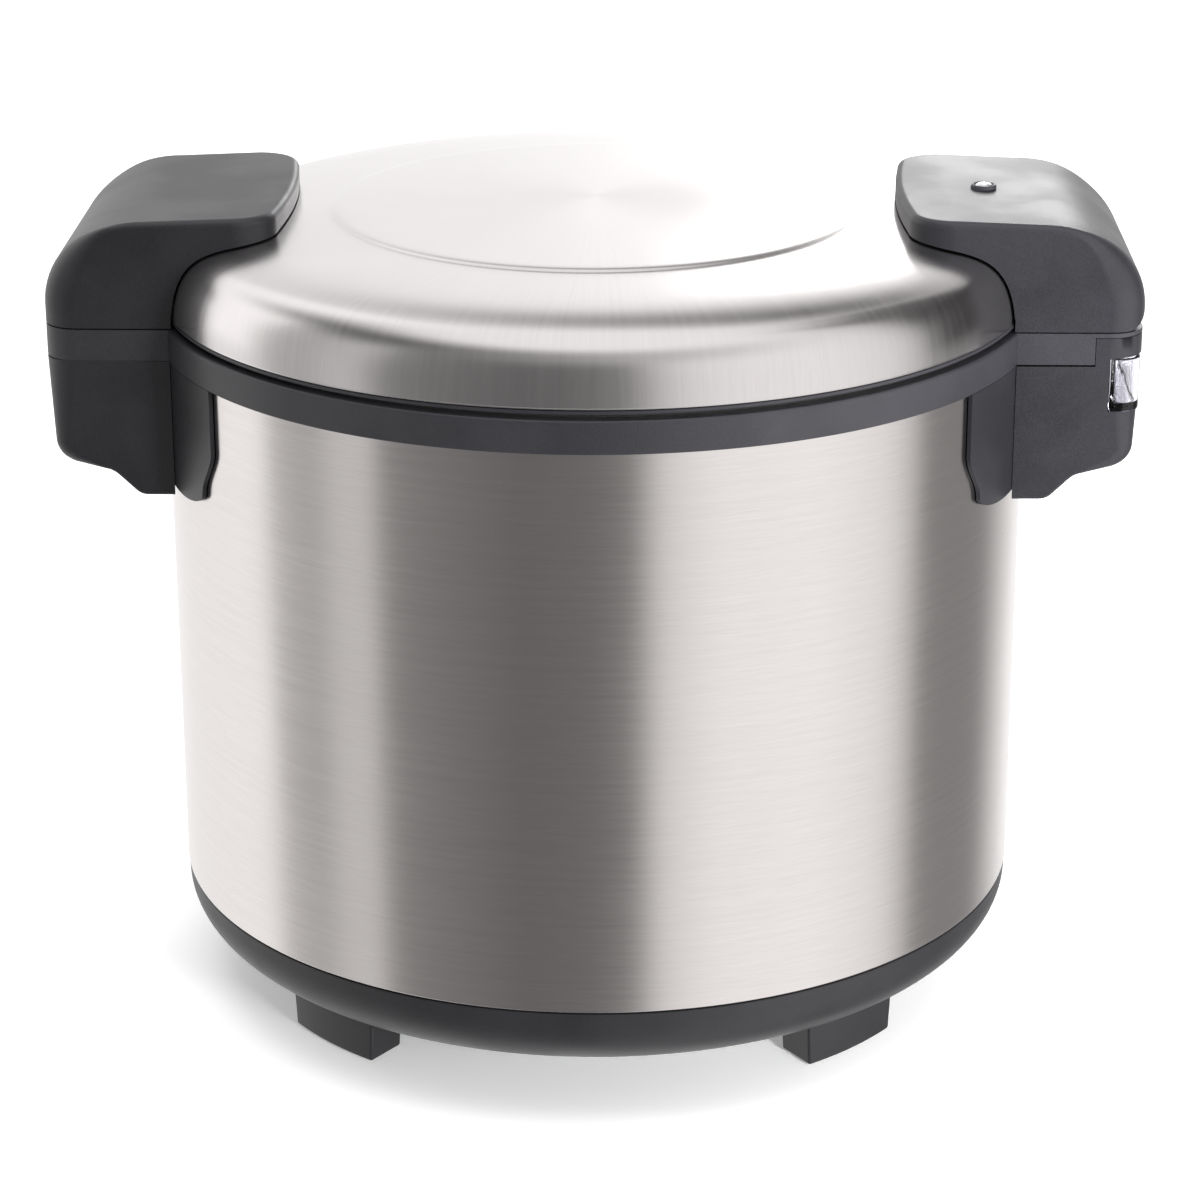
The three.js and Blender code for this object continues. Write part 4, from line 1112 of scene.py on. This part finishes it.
# ---- Controls ----
# The strip on the front block's end face: a black bezel pressed into the housing, a red seesaw power
# key, a white cook button and two lamp lenses, all in gloss plastic.
low, high = extent("control_bezel")
bezel = prism("bezel", oblong((low.y, low.z), (high.y, high.z), 3, 15), low.x, high.x, "x")
softened(bezel, 0.3)
joined(bezel, control_holes(low.x - 1, high.x + 1))
fitted(bezel, ring_plastic, "base", "black_plastic", "control_bezel")


def glossy(name, dark, light, roughness, clear_part=0.0):
    """Gloss plastic: a coloured key, or a lens when part of it is clear."""
    material, tree, shader = finish(name)
    place = node(tree, "ShaderNodeTexCoord").outputs["Object"]
    marks = use(tree, handling, {"Place": place, "Patch size": 0.006, "Grit size": 0.0008})
    shine = math_node(tree, "MULTIPLY_ADD", marks["Patches"], 0.08, roughness)
    fed(tree, shader, {"Base Color": mixed(tree, marks["Patches"], dark, light), "Roughness": shine,
                       "Normal": raised(tree, marks["Grit"], 0.1, 0.000005),
                       "Transmission Weight": clear_part})
    return material


red = glossy("red_key", (0.42, 0.02, 0.015, 1), (0.55, 0.03, 0.02, 1), 0.22)
white = glossy("white_key", (0.66, 0.66, 0.64, 1), (0.76, 0.76, 0.74, 1), 0.3)
amber = glossy("amber_lens", (0.85, 0.30, 0.02, 1), (0.95, 0.42, 0.05, 1), 0.12, 0.4)
green = glossy("green_lens", (0.05, 0.38, 0.08, 1), (0.10, 0.52, 0.14, 1), 0.12, 0.4)

PIVOT_X = BEZEL_X + 4.6
KEY_WIDE, KEY_TALL, KEY_END, KEY_MIDDLE, TILT = 9.5, 5, -5.2, -4.2, -7
face = eased([(0, -KEY_WIDE, 0.8), (0, KEY_WIDE, 0.8), (KEY_END, KEY_WIDE, 0.9), (KEY_MIDDLE, 0, 8),
              (KEY_END, -KEY_WIDE, 0.9)])
key = softened(prism("power_key", face, -KEY_TALL, KEY_TALL), 0.5, 2, 50)
key.data.transform(Matrix.Translation(Vector((PIVOT_X, ROCKER_Y, CONTROL_Z)) * MM)
                   @ Matrix.Rotation(math.radians(TILT), 4, "Z"))
fitted(key, red, "power_rocker", "red_key", "power_rocker")


def facing_front(piece, y):
    """Lays a piece turned about Z so that its top looks out of the front."""
    lay = Matrix.Translation(Vector((0, y, CONTROL_Z)) * MM) @ Matrix.Rotation(-math.pi / 2, 4, "Y")
    piece.data.transform(lay)
    return piece


low, high = extent("cook_button")
button_r = high.y
face_z = -low.x
profile = eased([(0, -high.x), (button_r, -high.x, 0.4), (button_r, face_z, 1.1),
                 (button_r * 0.62, face_z, 0.6), (button_r * 0.5, face_z - 0.6, 1.5), (0, face_z - 0.9)])
fitted(facing_front(turned("cook_key", profile, 64), 0), white, "cook_button", "white_key", "cook_button")
LENS_DOME = 1.4
lamps = [("cook", LAMPS_Y[0], amber, "amber_lens"), ("warm", LAMPS_Y[1], green, "green_lens")]
for name, y, material, slot_name in lamps:
    low, high = extent(f"lamp_{name}")
    lens_r = (high.y - low.y) / 2
    rim = -low.x - LENS_DOME
    sweep = [math.pi / 2 * k / 8 for k in range(9)]
    dome = [(lens_r * math.sin(a), rim + LENS_DOME * math.cos(a)) for a in sweep]
    lens = turned(f"{name}_lens", [(0, -high.x), (lens_r, -high.x), *reversed(dome)], 48)
    fitted(facing_front(lens, y), material, "base", slot_name, f"lamp_{name}")


# ---- Lid ----
# A pressed steel dome, brushed outwards from its middle, with a shallow raised disc and a rolled rim.
# Under it are the black ring, glass wool, the aluminium inner plate and the silicone gasket.
low, high = extent("lid_shell")
RIM_R, RIM_Z, CROWN = high.x, low.z, high.z


def rounded_off(corners, steps):
    """A smooth curve drawn by (x, y) corners: a cubic spline that keeps its first and last point."""
    held = [corners[0], corners[0], *corners, corners[-1], corners[-1]]
    curve = []
    for a, b, c, d in zip(held, held[1:], held[2:], held[3:]):
        for k in range(steps):
            t = k / steps
            weights = ((1 - t) ** 3, 3 * t ** 3 - 6 * t * t + 4, -3 * t ** 3 + 3 * t * t + 3 * t + 1, t ** 3)
            pulls = list(zip(weights, (a, b, c, d)))
            curve.append(tuple(sum(weight * spot[axis] for weight, spot in pulls) / 6 for axis in (0, 1)))
    curve.append(corners[-1])
    return curve


def lid_curve(offset=0.0):
    """The dome's outside from the rim to the crown, moved outwards by an offset."""
    shoulder = [(RIM_R - 0.1, RIM_Z), (RIM_R - 0.3, 338.5), (199.4, 345), (196.9, 353.5), (191.3, 361.8),
                (181.5, 366.6), (168, 369.6), (150, 371.1), (132, 372.1)]
    disc = [(124.5, 372.5), (122.3, 372.8), (120.6, 373.9), (118.5, 374.4), (112, 374.7), (86, 375.6),
            (50, 376.6), (20, CROWN), (0, CROWN)]
    curve = rounded_off(shoulder + disc, 6)
    if not offset:
        return curve
    moved = []
    for i, (r, z) in enumerate(curve):
        before, after = curve[max(i - 1, 0)], curve[min(i + 1, len(curve) - 1)]
        along = Vector((after[0] - before[0], after[1] - before[1])).normalized()
        moved.append((max(0, r + along.y * offset), z - along.x * offset))
    return moved


ROLL, ROLLED_POINTS = 1.4, 4
rolled = eased([(RIM_R - ROLL, RIM_Z + 0.4), (RIM_R - ROLL, RIM_Z, 0.6), (RIM_R, RIM_Z, 0.6),
                (RIM_R, RIM_Z + 1.3, 0.5)], 25)
profile = [*rolled, *lid_curve()[ROLLED_POINTS:], *reversed(lid_curve(-STEEL)[ROLLED_POINTS:])]
fitted(turned("lid_dome", profile), lid_steel, "lid", "brushed_steel", "lid_shell")

low, high = extent("lid_ring")
RING_BORE_R, RING_LIP = 193.4, 2.6
lip_r, ledge_z = RING_BORE_R + RING_LIP, RIM_Z - 0.4
profile = eased([(RING_BORE_R, low.z, 0.3), (high.x, low.z, 0.5), (high.x, ledge_z, 0.4), (lip_r, ledge_z),
                 (lip_r, high.z, 0.3), (RING_BORE_R, high.z, 0.3)], 30)
fitted(turned("lid_edge_ring", profile), ring_plastic, "lid", "black_plastic", "lid_ring")

low, high = extent("lid_gasket")
foot_r = high.x - 4.3
profile = eased([(foot_r, low.z, 0.5), (high.x - 0.3, low.z, 1.2), (high.x, high.z, 0.4),
                 (high.x - 2.5, high.z, 0.4), (foot_r, high.z - 2, 0.8)], 20)
silicone = moulded("silicone", (0.55, 0.54, 0.50, 1), (0.66, 0.65, 0.61, 1), 0.5, 0.002, 0.00003)
fitted(turned("gasket", profile), silicone, "lid", "silicone", "lid_gasket")

low, high = extent("inner_lid")
PLATE_T = 1.4
brim_top = low.z + PLATE_T
profile = eased([(0, 340.5), (150, 340.5, 6), (166, low.z, 6), (high.x, low.z, 0.5), (high.x, brim_top, 0.5),
                 (166.8, brim_top, 6), (150.8, high.z, 6), (0, high.z)], 10)
fitted(turned("inner_plate", profile), aluminium, "lid", "spun_aluminium", "inner_lid")
dressed("lid_insulation", wool, "glass_wool")


# ---- Arms ----
# The upper half of each side block. It rides on the lid: a hollow moulding with a rounded nose over the
# dome, one big curve down to its end face, and folded edges that widen on the end face.
ARM_CORNER, ARM_FALL, NOSE_R, NOSE_BOW = 48, 0.04, 20, 3
EDGE_FOLD = 3.5
low, high = extent("front_arm")
ARM_TOP, ARM_BOTTOM, ARM_HALF, NOSE_X = high.z, low.z, high.y, -high.x + NOSE_BOW
REAR_END = extent("rear_arm")[1].x


def arm_top(x):
    """The height of the arms' flat top, which falls a little towards the outer end."""
    return ARM_TOP - ARM_FALL * (x - NOSE_X + NOSE_BOW)


def arm_curve(end, offset):
    """The big curve over an arm's outer end, from its top down to the hinge pin's height."""
    start = end - ARM_CORNER
    rise = arm_top(start) - hinge_z + offset
    sweep = [math.radians(90 - 90 * k / 20) for k in range(21)]
    return [(start + (ARM_CORNER + offset) * math.cos(a), hinge_z + rise * math.sin(a)) for a in sweep]


def arm_body(name, end, inset, bottom):
    """The arm's outer form, or its hollow when inset is the wall's thickness."""
    half, nose_x, nose_r = ARM_HALF - inset, NOSE_X + inset, NOSE_R - inset
    path = [(nose_x + nose_r, arm_top(nose_x + nose_r) - inset)]
    path += [*arm_curve(end, -inset), (end - inset, ARM_BOTTOM + 4), (end - inset, bottom)]
    start = end - ARM_CORNER

    def fold(x, z):
        widening = smooth(x, start + 0.3 * ARM_CORNER, start + 0.95 * ARM_CORNER)
        return max(0.8, EDGE_FOLD + (END_FOLD - EDGE_FOLD) * widening - inset)

    nose = []
    for k in range(1, 13):
        a = math.radians(270 - 90 * k / 12)
        nose.append((nose_x + nose_r + nose_r * math.cos(a), -half + nose_r + nose_r * math.sin(a),
                     math.cos(a), math.sin(a)))
    straight = half - nose_r
    for k in range(1, 12):
        t = k / 6 - 1
        slope = 2 * NOSE_BOW * t / straight
        size = math.hypot(1, slope)
        nose.append((nose_x - NOSE_BOW * (1 - t * t), straight * t, -1 / size, slope / size))
    mirrored = [(x, -y, ox, -oy) for x, y, ox, oy in reversed(nose[:12])]
    return wrapped(name, path, half, fold, [(0, bottom)], nose + mirrored)


def over_lid(gap):
    """The space that the dome fills, with a gap round it."""
    curve = [(r, z) for r, z in lid_curve(gap) if z > RIM_Z + 2]
    return turned("over_lid", [(0, 310), (RIM_R + gap, 310), (RIM_R + gap, RIM_Z + 2), *curve])


def arm(name, end, hollow_end):
    """A hollow arm that follows the dome, with a small gap."""
    body = arm_body(name, end, 0, ARM_BOTTOM)
    hollow = arm_body("hollow", hollow_end, WALL, ARM_BOTTOM - 10)
    return joined(body, [hollow, over_lid(0.8)])


def across(name, outline, half):
    return prism(name, outline, -half, half, "y")


rear = arm("rear_arm_moulding", REAR_END, hinge_x + WALL)
# Its lower outer corner is rounded about the hinge pin, so that it clears the shelf as the lid opens.
edge_r = REAR_END - hinge_x
turn_in = [(hinge_x + edge_r * math.cos(a), hinge_z + edge_r * math.sin(a))
           for a in (math.radians(-90 + 90 * k / 16) for k in range(17))]
far_x, far_z = REAR_END + 9, ARM_BOTTOM - 6
joined(rear, [across("below", [*turn_in, (far_x, hinge_z), (far_x, far_z), (hinge_x, far_z)], 90)])
KNUCKLES, KNUCKLE_HALF = (-44.5, -20, 20, 44.5), 5
pin_place = (hinge_x, hinge_z)
knuckles = [rod("knuckle", edge_r - 0.05, y - KNUCKLE_HALF, y + KNUCKLE_HALF, pin_place, "y", 64)
            for y in KNUCKLES]
joined(rear, knuckles, "UNION")
NOTCH_HALF = LUG_HALF + 0.5
notches = [block("notch", (228, y - NOTCH_HALF, 320), (258, y + NOTCH_HALF, 352)) for y in LUGS]
low, high = extent("vent_collar")
vent_x, VENT_HOLE_R = (low.x + high.x) / 2, 4.4
vent_bore = rod("bore", VENT_HOLE_R, 365, 400, (vent_x, 0))
joined(rear, [*notches, rod("bore", PIN_R + FIT, -48.2, 48.2, pin_place, "y"), vent_bore])
fitted(rear, black_plastic, "lid", "black_plastic", "rear_arm")

front = about(arm("front_arm_moulding", BLOCK_END, BLOCK_END))
low, high = extent("latch_button")
GAP = 0.4
sides = oblong((low.y - GAP, low.z - GAP), (high.y + GAP, high.z + GAP), 2, 20)
joined(front, [prism("window", sides, -260, -236, "x")])
BOSS_IN, BOSS_OUT, BOSS_BOTTOM, BOSS_Y, BOSS_HALF = 214, 231, 351, 18, 2
roof = [(-x, z) for x, z in arm_curve(BLOCK_END, -WALL / 2) if BOSS_IN < x < BOSS_OUT]
boss = [(-BOSS_OUT, BOSS_BOTTOM), (-BOSS_IN, BOSS_BOTTOM), *roof]
joined(front, [prism("boss", boss, y - BOSS_HALF, y + BOSS_HALF, "y") for y in (-BOSS_Y, BOSS_Y)], "UNION")
low, high = extent("hook_pin")
pivot_x, pivot_z = (low.x + high.x) / 2, (low.z + high.z) / 2
joined(front, [rod("bore", BORE_R, -17.4, 17.4, (pivot_x, pivot_z), "y", 32)])
fitted(front, black_plastic, "lid", "black_plastic", "front_arm")


# ---- Hinge pin ----
# One ground steel pin through the arm's four knuckles and the ring's two lugs. It is held in the lugs,
# and both its ends are chamfered.
def pin(name, node_name, body):
    low, high = extent(node_name)
    radius = (high.x - low.x) / 2
    profile = eased([(0, low.y), (radius, low.y, 0.5), (radius, high.y, 0.5), (0, high.y)], 30)
    made = turned(name, profile, 40)
    place = Vector(((low.x + high.x) / 2, 0, (low.z + high.z) / 2)) * MM
    made.data.transform(Matrix.Translation(place) @ Matrix.Rotation(-math.pi / 2, 4, "X"))
    fitted(made, zinc, body, "spring_steel", node_name)


pin("lid_pivot", "hinge_pin", "base")


# ---- Steam vent ----
# A black moulded collar pressed into the rear arm, with a small bright steel cap in it. Steam lifts the
# cap, and the cap comes out for cleaning.
low, high = extent("vent_collar")
collar_r, collar_top = (high.x - low.x) / 2, high.z
seat = arm_top(vent_x) + 0.1
COLLAR_BORE_R, COLLAR_NECK_R = 3.5, 4.1
profile = eased([(COLLAR_BORE_R, low.z), (COLLAR_NECK_R, low.z), (COLLAR_NECK_R, seat),
                 (collar_r, seat, 0.15), (collar_r - 0.3, collar_top, 0.9), (4.6, collar_top, 0.4),
                 (4.2, collar_top - 0.8, 0.3), (COLLAR_BORE_R, collar_top - 0.9, 0.2)], 18)
collar = turned("vent_ring", profile, 64)
collar.data.transform(Matrix.Translation((vent_x * MM, 0, 0)))
fitted(collar, ring_plastic, "lid", "black_plastic", "vent_collar")
low, high = extent("vent_cap")
STEM_R, CAP_R = 2.6, 3.9
profile = eased([(0, low.z), (STEM_R, low.z, 0.3), (STEM_R, collar_top - 0.8), (CAP_R, collar_top - 0.7, 0.2),
                 (CAP_R, high.z - 0.6, 0.5), (2.4, high.z, 2), (0, high.z)], 18)
cap = turned("vent_button", profile, 48)
cap.data.transform(Matrix.Translation((vent_x * MM, 0, 0)))
bright = plated("bright_steel", (0.86, 0.86, 0.87, 1), 0.16)
fitted(cap, bright, "vent_cap", "brushed_steel", "vent_cap")


# ---- Latch ----
# A wide push button in the front arm's end face. It bears on a sprung steel hook that hangs from a pin
# between two bosses and drops through the catch plate.
low, high = extent("latch_button")
RIBS, RIB_PITCH, RIB_R = 5, 2.6, 0.5
BUTTON_BACK = -239.4
face_proud = -low.x - BLOCK_END - 0.4
curved = [(-x, min(high.z, z)) for x, z in arm_curve(BLOCK_END, face_proud) if z < high.z + 2]
side = [(-BLOCK_END - face_proud, low.z), *reversed(curved), (BUTTON_BACK, high.z), (BUTTON_BACK, low.z)]
button = softened(across("latch_key", side, high.y), 1.0, 3, 40)
joined(button, [block("stem", (BUTTON_BACK - 0.6, -8, 337), (high.x, 8, 343))], "UNION")
ribs = []
for k in range(RIBS):
    place = (low.x + RIB_R, low.z + 5 + k * RIB_PITCH)
    ribs.append(rod("rib", RIB_R, -high.y + 5, high.y - 5, place, "y", 12))
joined(button, ribs)
fitted(button, ring_plastic, "latch_button", "black_plastic", "latch_button")

low, high = extent("latch_hook")
blade = eased([(-231, 362.5, 1), (-227, 362.5, 1), (-225, 358), (-226, 319, 1), (-232, 319, 0.8),
               (-235, 324.6, 0.4), (-231, 324.6, 0.3)], 25)
hook = across("latch_blade", blade, high.y)
joined(hook, [rod("eye", 4.6, low.y, high.y, (pivot_x, pivot_z), "y")], "UNION")
joined(softened(hook, 0.4, 2, 40), [rod("bore", BORE_R, -13, 13, (pivot_x, pivot_z), "y", 32)])
fitted(hook, zinc, "latch_hook", "spring_steel", "latch_hook")
pin("latch_pivot", "hook_pin", "lid")
